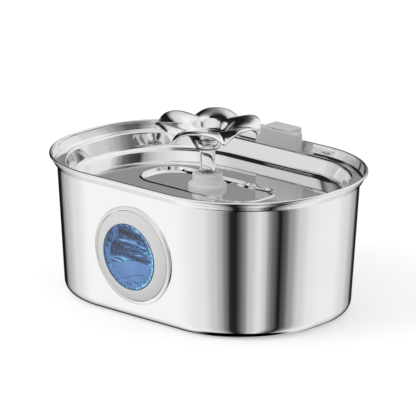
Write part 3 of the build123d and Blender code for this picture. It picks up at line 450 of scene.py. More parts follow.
def arc(centre, radius, start, end, steps):
    """Points on an arc of a section, as (radius, height), from one angle to another in degrees."""
    points = []
    for step in range(steps + 1):
        turned = math.radians(start + (end - start) * step / steps)
        points.append((centre[0] + radius * math.cos(turned), centre[1] + radius * math.sin(turned)))
    return points


print("ring tools ready, corners in", CORNER_STEPS, "steps")


# %% Spun sections
SPIN_STEPS = 96


def spun(name, section):
    """A closed section of (radius, height) points, spun about the Z axis."""
    piece = begin(name)
    bpy.ops.transform.translate(value=(section[0][0], 0, section[0][1]))
    for here, there in zip(section, section[1:]):
        move = (there[0] - here[0], 0, there[1] - here[1])
        bpy.ops.mesh.extrude_vertices_move(TRANSFORM_OT_translate={"value": move})
    first, last = (Vector((radius, 0, height)) for radius, height in (section[0], section[-1]))
    if min(first.x, last.x) > NEAR:
        pick(piece, lambda point: min((point - first).length, (point - last).length) < NEAR)
        bpy.ops.mesh.edge_face_add()
    bpy.ops.mesh.select_all(action="SELECT")
    bpy.ops.mesh.spin(steps=SPIN_STEPS, angle=2 * math.pi, center=(0, 0, 0), axis=(0, 0, 1))
    bpy.ops.mesh.select_all(action="SELECT")
    bpy.ops.mesh.remove_doubles(threshold=NEAR / 4)
    bpy.ops.mesh.normals_make_consistent(inside=False)
    bpy.ops.object.mode_set(mode="OBJECT")
    return piece


print("spinning tool ready, in", SPIN_STEPS, "steps")

# %% [markdown]
# ## Polished steel
# The steel is bright and nearly without colour. Buffing leaves faint waves that bend a reflection
# slightly, and a haze that varies a little from place to place. So one noise moves the roughness
# and another, broad and very weak, drives a bump.

# %% Steel
def new_material(name):
    """An empty node material with its Principled shader, and a noise-ready coordinate."""
    material = bpy.data.materials.new(name)
    material.use_nodes = True
    tree = material.node_tree
    shader = tree.nodes["Principled BSDF"]
    place = tree.nodes.new("ShaderNodeTexCoord").outputs["Object"]
    return material, tree, shader, place


def noise_node(tree, place, scale, detail=2.0, stretch=(1, 1, 1), roughness=0.5):
    """Noise on the piece's own coordinates, stretched along an axis where asked."""
    mapping = new_node(tree, "ShaderNodeMapping", Scale=stretch)
    tree.links.new(place, mapping.inputs["Vector"])
    noise = new_node(tree, "ShaderNodeTexNoise", Scale=scale, Detail=detail, Roughness=roughness)
    tree.links.new(mapping.outputs[0], noise.inputs["Vector"])
    return noise.outputs["Fac"]


def bump_node(tree, shader, height, strength, distance):
    """Bump from a height socket, given to the shader's normal."""
    bump = new_node(tree, "ShaderNodeBump", Strength=strength, Distance=distance)
    tree.links.new(height, bump.inputs["Height"])
    tree.links.new(bump.outputs[0], shader.inputs["Normal"])


def noise_ramp(tree, shader, name, noise, low, high, span=(0.3, 0.7)):
    """Drives an input from one value to another over the span where the noise mostly lies."""
    ramp = ramp_node(tree, noise, ((span[0], low), (span[1], high)))
    tree.links.new(ramp, shader.inputs[name])


STEEL_TINT = (0.985, 0.987, 0.99)
HAZE_SPAN = (0.3, 0.75)
CLOUD_SCALE, WAVE_SCALE = 24, 16
WAVE_STRENGTH, WAVE_HEIGHT = 0.04, 0.0004


def steel_finish(name, bright, haze):
    material, tree, shader, place = new_material(name)
    set_inputs(shader, Metallic=1)
    cloud = noise_node(tree, place, CLOUD_SCALE, 3)
    tinted = [bright * channel for channel in STEEL_TINT]
    noise_ramp(tree, shader, "Base Color", cloud, tinted, bright)
    noise_ramp(tree, shader, "Roughness", cloud, haze, haze * 2, HAZE_SPAN)
    waves = noise_node(tree, place, WAVE_SCALE, 1)
    bump_node(tree, shader, waves, WAVE_STRENGTH, WAVE_HEIGHT)
    return material


def painted_edge_shade(material, start, end, grey):
    """Paints shade into a steel's colour past a radius from the Z axis, on the trimmed edge of the
    sheet.
    """
    tree = material.node_tree
    shader = tree.nodes["Principled BSDF"]
    place = tree.nodes.new("ShaderNodeTexCoord").outputs["Object"]
    flat = vector_node(tree, "MULTIPLY", place, (1, 1, 0)).outputs["Vector"]
    radius = vector_node(tree, "LENGTH", flat).outputs["Value"]
    edge = range_node(tree, radius, start, end, "LINEAR")
    plain = shader.inputs["Base Color"].links[0].from_socket
    dark = blend_node(tree, edge, plain, grey)
    tree.links.new(dark, shader.inputs["Base Color"])


tank_steel = steel_finish("polished_tank_steel", 0.95, 0.03)
tray_steel = steel_finish("polished_tray_steel", 0.93, 0.04)
spout_steel = steel_finish("polished_spout_steel", 0.95, 0.02)
petal_steel = steel_finish("petal_steel_with_painted_rim_shade", 0.95, 0.015)
# The petals' trimmed rim is painted near-black: painted shade along their edge.
RIM_SHADE_START, RIM_SHADE_END, RIM_SHADE_GREY = 0.03925, 0.03945, 0.10
painted_edge_shade(petal_steel, RIM_SHADE_START, RIM_SHADE_END, RIM_SHADE_GREY)
print("steel finishes: tank, tray, spout and petals")

# %% [markdown]
# ## The tank
# The tank is one deep-drawn shell: a flat base with a wide round edge, a wall that leans out a little,
# a step that carries the tray, a flared band and a rolled bead. Its section is written once, outside
# and inside, and each point of it becomes a ring. Bridging the rings gives even quads all round, which
# a mirror finish needs. The hole for the window is then cut with a Boolean.

# %% Tank section
TANK_CORE = (0.0422, 0.0069)
TANK_RADIUS = 0.0770
WALL_TOP = 0.0999
WALL_DRAFT = 0.0058
SHEET = 0.0008
BASE_EDGE = 0.0088
BASE_EDGE_CENTRE = 0.0629
BAND_RADIUS = 0.0790
BAND_FLARE = math.radians(22.25)
BEAD_CENTRE = (0.0817, 0.1065)
BEAD_RADIUS = 0.0011
SHELF_RADIUS = 0.0762
SHELF_HEIGHT = 0.1007
SOFT_EDGE = 0.0007
HEM = 0.0004
DRAFT = 0.00003
STEP_RUN = 0.00047  # from the step's rounding to the band's foot
SHELF_RUN, SHELF_EDGE = 0.0012, 0.0006
WALL_RINGS = (0.0092, 0.030, 0.075)  # heights of the rings up the wall
WALL_LAST_OUTSIDE, WALL_LAST_INSIDE = 0.0975, 0.0995
BAND_RINGS = (0.1009, 0.1018, 0.1026)
HEM_RINGS = (0.1029, 0.1032, 0.1050)
BAND_RINGS_INSIDE = (0.1056, 0.1030)
lean = math.atan(WALL_DRAFT / WALL_TOP)


def wall_radius(height):
    return TANK_RADIUS - WALL_DRAFT * (1 - height / WALL_TOP)


def band_radius(height):
    return BAND_RADIUS + (height - WALL_TOP) * math.tan(BAND_FLARE)


lean_degrees = math.degrees(lean)
flare_degrees = math.degrees(BAND_FLARE)
outside = arc((BASE_EDGE_CENTRE, BASE_EDGE), BASE_EDGE, -90, -lean_degrees, 10)
outside += [(wall_radius(height), height) for height in (*WALL_RINGS, WALL_LAST_OUTSIDE)]
outside += arc((TANK_RADIUS + SOFT_EDGE, WALL_TOP - SOFT_EDGE), SOFT_EDGE, 180, 90, 4)
outside += arc(
    (BAND_RADIUS - STEP_RUN, WALL_TOP + SOFT_EDGE + DRAFT), SOFT_EDGE, -90, -flare_degrees, 4
)
outside += [(band_radius(height), height) for height in BAND_RINGS]
outside += [(band_radius(height) + HEM, height) for height in HEM_RINGS]
outside += arc(BEAD_CENTRE, BEAD_RADIUS, -104, 200, 16)
inside = [(band_radius(height) - SHEET, height) for height in BAND_RINGS_INSIDE]
inside += arc((BAND_RADIUS - SHELF_RUN, SHELF_HEIGHT + SHELF_EDGE), SHELF_EDGE, -10, -90, 4)
inside += arc((SHELF_RADIUS + SOFT_EDGE, SHELF_HEIGHT - SOFT_EDGE - DRAFT), SOFT_EDGE, 90, 180, 4)
inside += [
    (wall_radius(height) - SHEET, height) for height in (WALL_LAST_INSIDE, *reversed(WALL_RINGS))
]
inside += arc((BASE_EDGE_CENTRE, BASE_EDGE), BASE_EDGE - SHEET, -lean_degrees, -90, 8)
print("tank section points:", len(outside) + len(inside))

# %% Tank shell
tank = ringed("tank_shell", [(TANK_CORE, *point) for point in outside + inside])
cap(tank, (TANK_CORE, *outside[0]))
cap(tank, (TANK_CORE, *inside[-1]))
face_outwards()

# %% Window hole
WINDOW_HEIGHT = 0.0510
WINDOW_HOLE = 0.0293
HOLE_STEPS = 96
HOLE_DEPTH = 0.02
window_place = Vector((0, -(TANK_CORE[1] + wall_radius(WINDOW_HEIGHT)), WINDOW_HEIGHT))
window_normal = Vector((0, -math.cos(lean), -math.sin(lean)))
window_frame = Matrix.Translation(window_place) @ Matrix(
    (Vector((1, 0, 0)), window_normal.cross(Vector((1, 0, 0))), window_normal)
).transposed().to_4x4()


def cut(piece, cutter):
    """Cuts one closed shape out of another and removes the cutter."""
    apply_modifier(piece, "BOOLEAN", object=cutter, operation="DIFFERENCE", solver="EXACT")
    bpy.data.objects.remove(cutter)


nothing_selected()
bpy.ops.mesh.primitive_cylinder_add(vertices=HOLE_STEPS, radius=WINDOW_HOLE, depth=HOLE_DEPTH)
cutter = bpy.context.object
cutter.matrix_world = window_frame
cut(tank, cutter)
done(tank, "tank", tank_steel, ["tank"])

# %% [markdown]
# ## The drinking tray
# The tray is pressed from thinner sheet: a flange that lies on the tank's step, a basin with a rounded
# lip, and a sunk panel in its floor. Only the upper surface is drawn. Solidify then gives the sheet
# its thickness, and the hole for the spout, the drain slots and the cable notch are cut through it.

# %% Tray section
TRAY_SHEET = 0.0007
FLANGE_RADIUS = 0.0778
FLANGE_TOP = 0.1014
LIP_EDGE = 0.0022
LIP_CENTRE = (0.0716, FLANGE_TOP - LIP_EDGE)
BASIN_FLOOR = 0.0882
BASIN_EDGE = 0.0042
BASIN_LEAN = 17.65
PANEL_CORE = (0.0355, 0.0025)
PANEL_RADIUS = 0.0197
PANEL_EDGE = 0.0004
PANEL_FLOOR = 0.0862
BEAD_OUTER = 0.0229
BEAD_RISE = 0.0006
BEAD_SLOPE = 27
PANEL_LEAN = 30
FLANGE_RINGS = (0.0748, 0.0720)  # radii of the rings across the flange
BASIN_WALL_RINGS = (0.0995, 0.0955, 0.0915)
FLOOR_RUN = 0.0012  # from the basin's rounding to the first ring on its floor
PANEL_APRON = 0.0600  # radius round the panel's core of the floor's next ring
BEAD_FOOT = 0.0005


def wall_at(height):
    """Radius of the basin's wall, which runs straight from the lip down to the edge of its floor."""
    rise = height - LIP_CENTRE[1]
    lean = math.radians(BASIN_LEAN)
    return LIP_CENTRE[0] - LIP_EDGE / math.cos(lean) + rise * math.tan(lean)


edge_height = BASIN_FLOOR + BASIN_EDGE
basin_edge = (wall_at(edge_height) - BASIN_EDGE / math.cos(math.radians(BASIN_LEAN)), edge_height)
basin = [
    (radius, FLANGE_TOP - drop * DRAFT)
    for radius, drop in zip((FLANGE_RADIUS, *FLANGE_RINGS), (3, 2, 1))
]
basin += arc(LIP_CENTRE, LIP_EDGE, 90, 180 - BASIN_LEAN, 8)
basin += [(wall_at(height), height) for height in BASIN_WALL_RINGS]
basin += arc(basin_edge, BASIN_EDGE, -BASIN_LEAN, -90, 12)
basin += [(basin_edge[0] - FLOOR_RUN, BASIN_FLOOR - DRAFT / 2)]
crest = BASIN_FLOOR + BEAD_RISE
inner_slope = (crest - PANEL_FLOOR) * math.tan(math.radians(PANEL_LEAN))
panel = [
    (PANEL_APRON, BASIN_FLOOR - DRAFT), (BEAD_OUTER + BEAD_FOOT, BASIN_FLOOR - 1.5 * DRAFT),
    (BEAD_OUTER, BASIN_FLOOR - 2 * DRAFT),
]
bead_run = BEAD_RISE / math.tan(math.radians(BEAD_SLOPE))
bead_crest = (BEAD_OUTER - bead_run - PANEL_EDGE / 4, crest - PANEL_EDGE)
panel += arc(bead_crest, PANEL_EDGE, 90 - BEAD_SLOPE, 90, 3)
panel_lip = (PANEL_RADIUS + inner_slope + PANEL_EDGE / 2, crest - PANEL_EDGE - DRAFT)
panel += arc(panel_lip, PANEL_EDGE, 90, 150, 4)
panel += arc((PANEL_RADIUS - PANEL_EDGE / 2, PANEL_FLOOR + PANEL_EDGE), PANEL_EDGE, -30, -90, 4)
panel += [(PANEL_RADIUS - 4 * PANEL_EDGE, PANEL_FLOOR - DRAFT)]
rings = [(TANK_CORE, *point) for point in basin] + [(PANEL_CORE, *point) for point in panel]
tray = ringed("tray_pressing", rings)
cap(tray, rings[-1])
face_outwards()
shape = bmesh.from_edit_mesh(tray.data)
if max(shape.faces, key=lambda face: face.calc_area()).normal.z < 0:
    bpy.ops.mesh.flip_normals()
apply_modifier(tray, "SOLIDIFY", thickness=TRAY_SHEET, offset=-1, use_even_offset=True)
print("tray rings:", len(rings))

# %% Holes in the tray
HUB_HOLE = 0.0085
DRAIN_LENGTH = 0.0120
DRAIN_WIDTH = 0.0026
DRAIN_PLACES = (-0.038, 0.0, 0.038)
DRAIN_Y = 0.0202
NOTCH_WIDTH = 0.0150
NOTCH_DEPTH = 0.0060
NOTCH_EDGE = 0.0012
FLANGE_Y = TANK_CORE[1] + FLANGE_RADIUS
CUTTER_DEPTH = 0.006
CUT_BELOW, CUT_ABOVE = 0.003, 0.001  # how far the slots' cutter reaches past the panel's floor
NOTCH_LOW, NOTCH_HIGH = 0.099, 0.104


def slab(core, radius, low, high):
    """A closed block with a rounded plan, for cutting."""
    block = ringed("cutter", [(core, radius, low), (core, radius, high)])
    cap(block, (core, radius, low))
    cap(block, (core, radius, high))
    face_outwards()
    nothing_selected()
    return block


nothing_selected()
bpy.ops.mesh.primitive_cylinder_add(
    vertices=HOLE_STEPS, radius=HUB_HOLE, depth=CUTTER_DEPTH, location=(0, 0, PANEL_FLOOR)
)
cut(tray, bpy.context.object)
for place in DRAIN_PLACES:
    slot = slab(
        ((DRAIN_LENGTH - DRAIN_WIDTH) / 2, 2 * NEAR), DRAIN_WIDTH / 2 - 2 * NEAR,
        PANEL_FLOOR - CUT_BELOW, PANEL_FLOOR + CUT_ABOVE,
    )
    slot.location = (place, DRAIN_Y, 0)
    cut(tray, slot)
notch = slab(
    (NOTCH_WIDTH / 2 - NOTCH_EDGE, NOTCH_DEPTH - NOTCH_EDGE), NOTCH_EDGE, NOTCH_LOW, NOTCH_HIGH
)
notch.location = (0, FLANGE_Y, 0)
cut(tray, notch)
done(tray, "tray", tray_steel, ["tray"])

# %% [markdown]
# ## The petalled spout
# Water wells up through the cup in the middle and runs off the six petals. The sheet starts as one
# circle of points that is extruded outwards ring by ring. Then each ring's points are moved as a class:
# those on the middle of a petal go highest, those in a crease lowest, the others on an arch between
# the two. Solidify gives the sheet, and two levels of subdivision make it smooth enough to mirror.
# The creases stay sharp near the throat and fade towards the rim.

# %% Petal lines
PETALS = 6
PETAL_POINTS = 16
CUP_LINE = ((0.0036, 0.1200), (0.0064, 0.1200), (0.0108, 0.1268))
MIDDLE_LINE = (
    (0.0142, 0.1268), (0.0155, 0.1278), (0.0170, 0.1292), (0.0185, 0.1307), (0.0200, 0.1322),
    (0.0215, 0.1335), (0.0231, 0.1346), (0.0249, 0.1355), (0.0270, 0.1363), (0.0293, 0.1370),
    (0.0319, 0.1377), (0.0346, 0.1382), (0.0370, 0.1382), (0.0387, 0.1377), (0.0393, 0.1372),
    (0.03955, 0.1363),
)
CREASE_LINE = (
    (0.0139, 0.1268), (0.0148, 0.1278), (0.0159, 0.1292), (0.0170, 0.1307), (0.0182, 0.1321),
    (0.0197, 0.1333), (0.0216, 0.1341), (0.0237, 0.1345), (0.0260, 0.1345), (0.0286, 0.1341),
    (0.0312, 0.1334), (0.0340, 0.1321), (0.0366, 0.1304), (0.0384, 0.1291), (0.0391, 0.1285),
    (0.03955, 0.1275),
)
ARCH = 2.2  # how late the sheet falls from a petal's middle to the crease
SPOUT_SHEET = 0.0010
SPOUT_LEVELS = 2
petal_half = math.pi / PETALS


def petal_class(point):
    """0 on the middle of a petal, up to half the petal's points in a crease."""
    turned = math.atan2(point.y, point.x) / (2 * petal_half)
    return round(abs(turned - round(turned)) * PETAL_POINTS)


def resize_ring(factor, height):
    """Moves the selected points out from the Z axis, or in."""
    bpy.ops.transform.resize(value=(factor, factor, 1), center_override=(0, 0, height))


print("petal rings:", len(CUP_LINE) + len(MIDDLE_LINE))

# %% Petals
nothing_selected()
first_radius, first_height = CUP_LINE[0]
bpy.ops.mesh.primitive_circle_add(
    vertices=PETALS * PETAL_POINTS, radius=first_radius, location=(0, 0, first_height)
)
flower = bpy.context.object
flower.name = "flower_petals"
bpy.ops.object.transform_apply(location=True, rotation=True, scale=True)
bpy.ops.object.mode_set(mode="EDIT")
bpy.ops.mesh.select_all(action="SELECT")
line = CUP_LINE + MIDDLE_LINE
for (old_radius, old_height), (radius, height) in zip(line, line[1:]):
    bpy.ops.mesh.extrude_edges_move(TRANSFORM_OT_translate={"value": (0, 0, height - old_height)})
    resize_ring(radius / old_radius, height)
for (radius, height), (crease_radius, crease_height) in zip(MIDDLE_LINE, CREASE_LINE):
    for place in range(1, PETAL_POINTS // 2 + 1):
        share = math.tan(petal_half * 2 * place / PETAL_POINTS) / math.tan(petal_half)
        pick(flower, lambda point: (
            abs(math.hypot(point.x, point.y) - radius) < NEAR
            and abs(point.z - height) < NEAR and petal_class(point) == place
        ))
        new_radius = radius + (crease_radius - radius) * share ** 2
        resize_ring(new_radius / radius, height)
        bpy.ops.transform.translate(value=(0, 0, (crease_height - height) * share ** ARCH))
print("flower points:", len(bmesh.from_edit_mesh(flower.data).verts))

# %% Petal sheet
CREASE_STRENGTHS = ((0.0235, 1.0), (0.0270, 0.6), (0.0320, 0.3))
face_outwards()
pick(flower, lambda point: math.hypot(point.x, point.y) > MIDDLE_LINE[-4][0])
shape = bmesh.from_edit_mesh(flower.data)
if sum(face.normal.z for face in shape.faces if face.select) < 0:
    bpy.ops.mesh.select_all(action="SELECT")
    bpy.ops.mesh.flip_normals()
apply_modifier(flower, "SOLIDIFY", thickness=SPOUT_SHEET, offset=-1, use_even_offset=True)
only(flower)
bpy.ops.object.mode_set(mode="EDIT")
inner = CREASE_LINE[1][0]
for outer, strength in CREASE_STRENGTHS:
    pick_edges(flower, lambda start, end: (
        petal_class(start) == petal_class(end) == PETAL_POINTS // 2
        and abs(start.xy.length - end.xy.length) > 10 * NEAR
        and inner - NEAR < (start.xy.length + end.xy.length) / 2 < outer
    ))
    bpy.ops.transform.edge_crease(value=strength)
    inner = outer
apply_modifier(
    flower, "SUBSURF", levels=SPOUT_LEVELS, render_levels=SPOUT_LEVELS, use_limit_surface=True
)
done(flower, "flower_spout", petal_steel, ["flower_spout"], smooth_angle=50)

# %% [markdown]
# ## The window
# A polished ring is pressed on the tank's front, and inside it sits a pale plastic bezel whose broad
# face slopes in to a blue lens. All three are turned parts, so each is a section spun about its axis
# and then placed on the leaning wall.

# %% Window parts
def on_window(piece):
    """Moves a piece that was spun about Z onto the window's axis."""
    piece.matrix_world = window_frame
    return piece


TRIM_INNER, TRIM_OUTER, TRIM_HEIGHT = 0.0348, 0.0376, 0.0020
TRIM_FOOT, TRIM_SLOPE, TRIM_CREST, TRIM_CORNER = 0.0008, 22, 0.0006, 0.0005
LENS_EDGE, LENS_SEAT, LENS_BACK, LENS_FACE = 0.02535, 0.02725, 0.0018, 0.0054
BEZEL_INNER, BEZEL_OUTER, BEZEL_LOW = 0.0254, 0.0345, 0.0019
BEZEL_SEAT, BEZEL_SLEEVE, BEZEL_FOOT, BEZEL_BACK, REBATE = 0.0273, 0.0290, 0.0010, -0.0090, 0.0036
WINDOW_EDGE = 0.0005
BEZEL_CROWN = 0.0005
CROWN_SHARES = (0.12, 0.25, 0.4, 0.55, 0.7, 0.85)
EDGE_TURN = 12  # degrees by which the face's two roundings stop short of its slope
SEAT_GAP = 0.00003  # parts stand this far off what they seat on, so no two faces coincide
LENS_GAP = 0.00005
slope = math.atan2(LENS_FACE - BEZEL_LOW, BEZEL_OUTER - BEZEL_INNER)
slope_normal = 90 - math.degrees(slope)


def bezel_face(radius):
    return LENS_FACE - (radius - BEZEL_INNER) * math.tan(slope)


trim_section = [(TRIM_INNER, SEAT_GAP), (TRIM_OUTER, SEAT_GAP)]
trim_section += arc((TRIM_OUTER - TRIM_CORNER, TRIM_FOOT), TRIM_CORNER, 0, 90 - TRIM_SLOPE, 5)
trim_climb = TRIM_HEIGHT - TRIM_CREST - TRIM_FOOT
trim_climb += (TRIM_CREST - TRIM_CORNER) * math.cos(math.radians(TRIM_SLOPE))
crest_centre = TRIM_OUTER - TRIM_CORNER - trim_climb / math.tan(math.radians(TRIM_SLOPE))
crest_centre -= (TRIM_CREST - TRIM_CORNER) * math.sin(math.radians(TRIM_SLOPE))
trim_section += arc((crest_centre, TRIM_HEIGHT - TRIM_CREST), TRIM_CREST, 90 - TRIM_SLOPE, 180, 12)
print("trim crest", round(crest_centre * 1000, 3), "mm from the axis")
bezel_section = [
    (BEZEL_SEAT, BEZEL_BACK), (BEZEL_SLEEVE, BEZEL_BACK), (BEZEL_SLEEVE, BEZEL_FOOT),
    (BEZEL_OUTER, BEZEL_FOOT),
]
drop = WINDOW_EDGE / math.cos(slope)
edge_radius = BEZEL_OUTER - WINDOW_EDGE
edge_centre = (edge_radius, bezel_face(edge_radius) - drop)
bezel_section += arc(edge_centre, WINDOW_EDGE, 0, slope_normal - EDGE_TURN, 6)
for share in CROWN_SHARES:
    crown_radius = edge_radius - share * (edge_radius - BEZEL_INNER - WINDOW_EDGE)
    crown = BEZEL_CROWN * 4 * share * (1 - share)
    bezel_section.append((crown_radius, bezel_face(crown_radius) + crown))
edge_radius = BEZEL_INNER + WINDOW_EDGE
edge_centre = (edge_radius, bezel_face(edge_radius) - drop)
bezel_section += arc(edge_centre, WINDOW_EDGE, slope_normal + EDGE_TURN, 180, 8)
bezel_section += [(BEZEL_INNER, REBATE), (BEZEL_SEAT, REBATE)]
lens_section = [
    (0, LENS_BACK), (LENS_SEAT, LENS_BACK), (LENS_SEAT, REBATE - LENS_GAP),
    (LENS_EDGE, REBATE - LENS_GAP),
]
lens_section += arc((LENS_EDGE - WINDOW_EDGE, LENS_FACE - WINDOW_EDGE), WINDOW_EDGE, 0, 90, 6)
lens_section += [(0, LENS_FACE)]
print("bezel slope in degrees:", round(math.degrees(slope), 1))

# %% [markdown]
# The bezel is satin plastic with a barely visible grain. The lens is tinted plastic. Behind it lie the
# dark, half-lit inside of the tank and, below the water line, clear blue water, so its colour is
# painted from the same things: painted shade of the inside with painted streaks of light above a round
# water line, flat blue below, and a painted highlight and painted shade on the rim where the edge
# catches the light.

# %% Plastics of the window
MOTTLE_SCALE, GRAIN_SCALE, GRAIN_HEIGHT = 60, 900, 0.0001
SCATTER = 0.004  # how far light goes into a milky plastic


def plastic(name, colour, roughness, grain=0.0, mottle=0.03, subsurface=0.0):
    """Moulded plastic: an even colour with faint mottling, and a fine grain in its gloss."""
    material, tree, shader, place = new_material(name)
    cloud = noise_node(tree, place, MOTTLE_SCALE, 2)
    darker = [channel * (1 - mottle) for channel in colour]
    noise_ramp(tree, shader, "Base Color", cloud, darker, colour)
    fine = noise_node(tree, place, GRAIN_SCALE, 2)
    noise_ramp(tree, shader, "Roughness", fine, roughness * 0.9, roughness * 1.1)
    if grain:
        bump_node(tree, shader, fine, grain, GRAIN_HEIGHT)
    if subsurface:
        radius = (SCATTER, SCATTER, SCATTER)
        set_inputs(shader, Subsurface_Weight=subsurface, Subsurface_Radius=radius)
    return material


bezel_plastic = plastic("satin_grey_plastic", (0.71, 0.71, 0.715), 0.32, 0.15)
print("plastic:", bezel_plastic.name)

# %% Lens colour
# DARK_INSIDE and SHADOW_BLUE are painted shade; DIM_BLUE, STREAK_BLUE, BRIGHT_CYAN, RIM_CYAN painted
# light.
DARK_INSIDE = (0.050, 0.054, 0.066)
SHADOW_BLUE = (0.060, 0.090, 0.170)
DIM_BLUE = (0.085, 0.160, 0.340)
STREAK_BLUE = (0.125, 0.265, 0.560)
BRIGHT_CYAN = (0.240, 0.600, 0.940)
WATER_BLUE = (0.160, 0.300, 0.585)
RIM_CYAN = (0.450, 0.850, 1.000)
# Arches: where the top lies across and in height, and how fast the arch falls off.
WATER_LINE = (0.010, -0.0024, 8.5)
DARK_ARC_LINE = (0.016, -0.0118, 14.0)
# Circles: the centre across and in height, and the radii where the zone starts and is full.
INNER_RIM = (0.0020, 0.0016, 0.0186, 0.0194)
LEFT_GLOW = (0.0045, -0.0020, 0.0215, 0.0235)
BRIGHT_RIM = (0.0232, 0.0240)
DARK_RIM = (0.0246, 0.0251)


def axis_of(tree, place, axis):
    parts = tree.nodes.new("ShaderNodeSeparateXYZ")
    tree.links.new(place, parts.inputs[0])
    return parts.outputs[axis]


def squared_from(tree, value, centre):
    """The square of the distance along one axis from a centre."""
    gap = math_node(tree, "SUBTRACT", value, centre)
    return math_node(tree, "MULTIPLY", gap, gap)


def above_arch(tree, across, height, arch):
    """Height above an arch, which has its top at two coordinates and falls off with the square."""
    fall = math_node(tree, "MULTIPLY", squared_from(tree, across, arch[0]), arch[2])
    return math_node(tree, "ADD", math_node(tree, "SUBTRACT", height, arch[1]), fall)


def radius_from(tree, across, height, centre=(0.0, 0.0)):
    across_squared = squared_from(tree, across, centre[0])
    height_squared = squared_from(tree, height, centre[1])
    return math_node(tree, "SQRT", math_node(tree, "ADD", across_squared, height_squared))


def times(first, second):
    """Multiplies in the lens's tree."""
    return math_node(tree, "MULTIPLY", first, second)


lens_paint, tree, shader, place = new_material("blue_lens")
across = axis_of(tree, place, "X")
height = math_node(tree, "SUBTRACT", axis_of(tree, place, "Z"), WINDOW_HEIGHT)
radius = radius_from(tree, across, height)

print("lens radius:", LENS_EDGE)

# %% Streaks of painted light above the water line, over painted shade
FINE_SHARE, BROAD_SHARE = 0.3, 0.7
STREAK_ACROSS, STREAK_FALL = 5.2, 5.0  # how the streaks brighten to the right and downwards
STREAK_STOPS = (
    (0.335, DARK_INSIDE), (0.350, SHADOW_BLUE), (0.358, DIM_BLUE), (0.366, DARK_INSIDE),
    (0.400, DARK_INSIDE), (0.408, STREAK_BLUE), (0.418, DARK_INSIDE), (0.450, SHADOW_BLUE),
    (0.462, STREAK_BLUE), (0.474, DARK_INSIDE), (0.492, SHADOW_BLUE), (0.508, STREAK_BLUE),
    (0.524, DARK_INSIDE), (0.545, STREAK_BLUE), (0.572, BRIGHT_CYAN), (0.590, SHADOW_BLUE),
    (0.615, STREAK_BLUE), (0.65, BRIGHT_CYAN),
)
GLOW_SHARE, GLOW_PATCH_SPAN, GLOW_SIDE = 0.85, (0.42, 0.56), (-0.006, -0.012)
fine_streaks = noise_node(tree, place, 260, 3, (0.10, 1, 1), 0.55)
broad_streaks = noise_node(tree, place, 150, 2, (0.20, 1, 1), 0.5)
streaks = math_node(
    tree, "ADD", times(fine_streaks, FINE_SHARE), times(broad_streaks, BROAD_SHARE)
)
streaks = math_node(tree, "ADD", streaks, times(across, STREAK_ACROSS))
streaks = math_node(tree, "SUBTRACT", streaks, times(height, STREAK_FALL))
upper = ramp_node(tree, streaks, STREAK_STOPS)
# A painted glow of light on the lens's left side, broken up into patches.
left_glow = radius_from(tree, across, height, LEFT_GLOW[:2])
left_glow = times(range_node(tree, left_glow, *LEFT_GLOW[2:]), GLOW_SHARE)
glow_patches = noise_node(tree, place, 330, 3, (1, 1, 0.45), 0.6)
left_glow = times(left_glow, range_node(tree, glow_patches, *GLOW_PATCH_SPAN))
left_side = range_node(tree, across, *GLOW_SIDE)
upper = blend_node(tree, times(left_glow, left_side), upper, STREAK_BLUE)
print("streak stops:", len(STREAK_STOPS))

# %% Water below it
WATER_DARK, WATER_LIGHT, WATER_SPAN = 0.86, 1.1, (0.35, 0.65)
DARK_ARC_HALF, DARK_ARC_CORE, DARK_ARC_SIDE, DARK_ARC_SHARE = 0.0005, 0.0001, (-0.008, -0.002), 0.8
REFRACTION_PATCH_STOPS = (
    (0.38, SHADOW_BLUE), (0.47, STREAK_BLUE), (0.54, WATER_BLUE), (0.60, STREAK_BLUE),
    (0.68, BRIGHT_CYAN),
)
REFRACTION_PATCH_SHARE, RIPPLE, LINE_HALF = 0.75, 0.007, 0.0004
clouds = noise_node(tree, place, 70, 2, (1, 1, 0.5))
water = ramp_node(tree, clouds, [
    (stop, [channel * share for channel in WATER_BLUE])
    for stop, share in zip(WATER_SPAN, (WATER_DARK, WATER_LIGHT))
])
# A darker arc painted into the water on its left side, in the painted shade colour.
dark_arc = above_arch(tree, across, height, DARK_ARC_LINE)
dark_arc_mark = times(
    range_node(tree, dark_arc, -DARK_ARC_HALF, -DARK_ARC_CORE), range_node(tree, dark_arc, DARK_ARC_HALF, DARK_ARC_CORE)
)
dark_arc_mark = times(dark_arc_mark, range_node(tree, across, *DARK_ARC_SIDE))
water = blend_node(tree, times(dark_arc_mark, DARK_ARC_SHARE), water, SHADOW_BLUE)
# Patches of painted light and shade: a painted refraction band inside the lens's edge, and light on its
# rim.
light_patches = noise_node(tree, place, 420, 3, (1, 1, 1), 0.6)
off_centre = radius_from(tree, across, height, INNER_RIM[:2])
edge_zone = range_node(tree, off_centre, *INNER_RIM[2:])
painted_refraction = ramp_node(tree, light_patches, REFRACTION_PATCH_STOPS)
water = blend_node(tree, times(edge_zone, REFRACTION_PATCH_SHARE), water, painted_refraction)
ripple = times(math_node(tree, "SUBTRACT", broad_streaks, 0.5), RIPPLE)
water_gap = math_node(tree, "ADD", above_arch(tree, across, height, WATER_LINE), ripple)
below = range_node(tree, water_gap, LINE_HALF, -LINE_HALF)
colour = blend_node(tree, below, upper, water)
print("water line", -WATER_LINE[1], "m below the lens's middle")

# %% Rim of the lens, with a painted highlight and painted shade at its edge
RIM_SLOPE, RIM_SHARE = 7.0, 0.85
RIM_STOPS = ((0.40, SHADOW_BLUE), (0.52, STREAK_BLUE), (0.60, BRIGHT_CYAN), (0.70, RIM_CYAN))
LENS_ROUGHNESS, LENS_SPECULAR = 0.12, 0.2
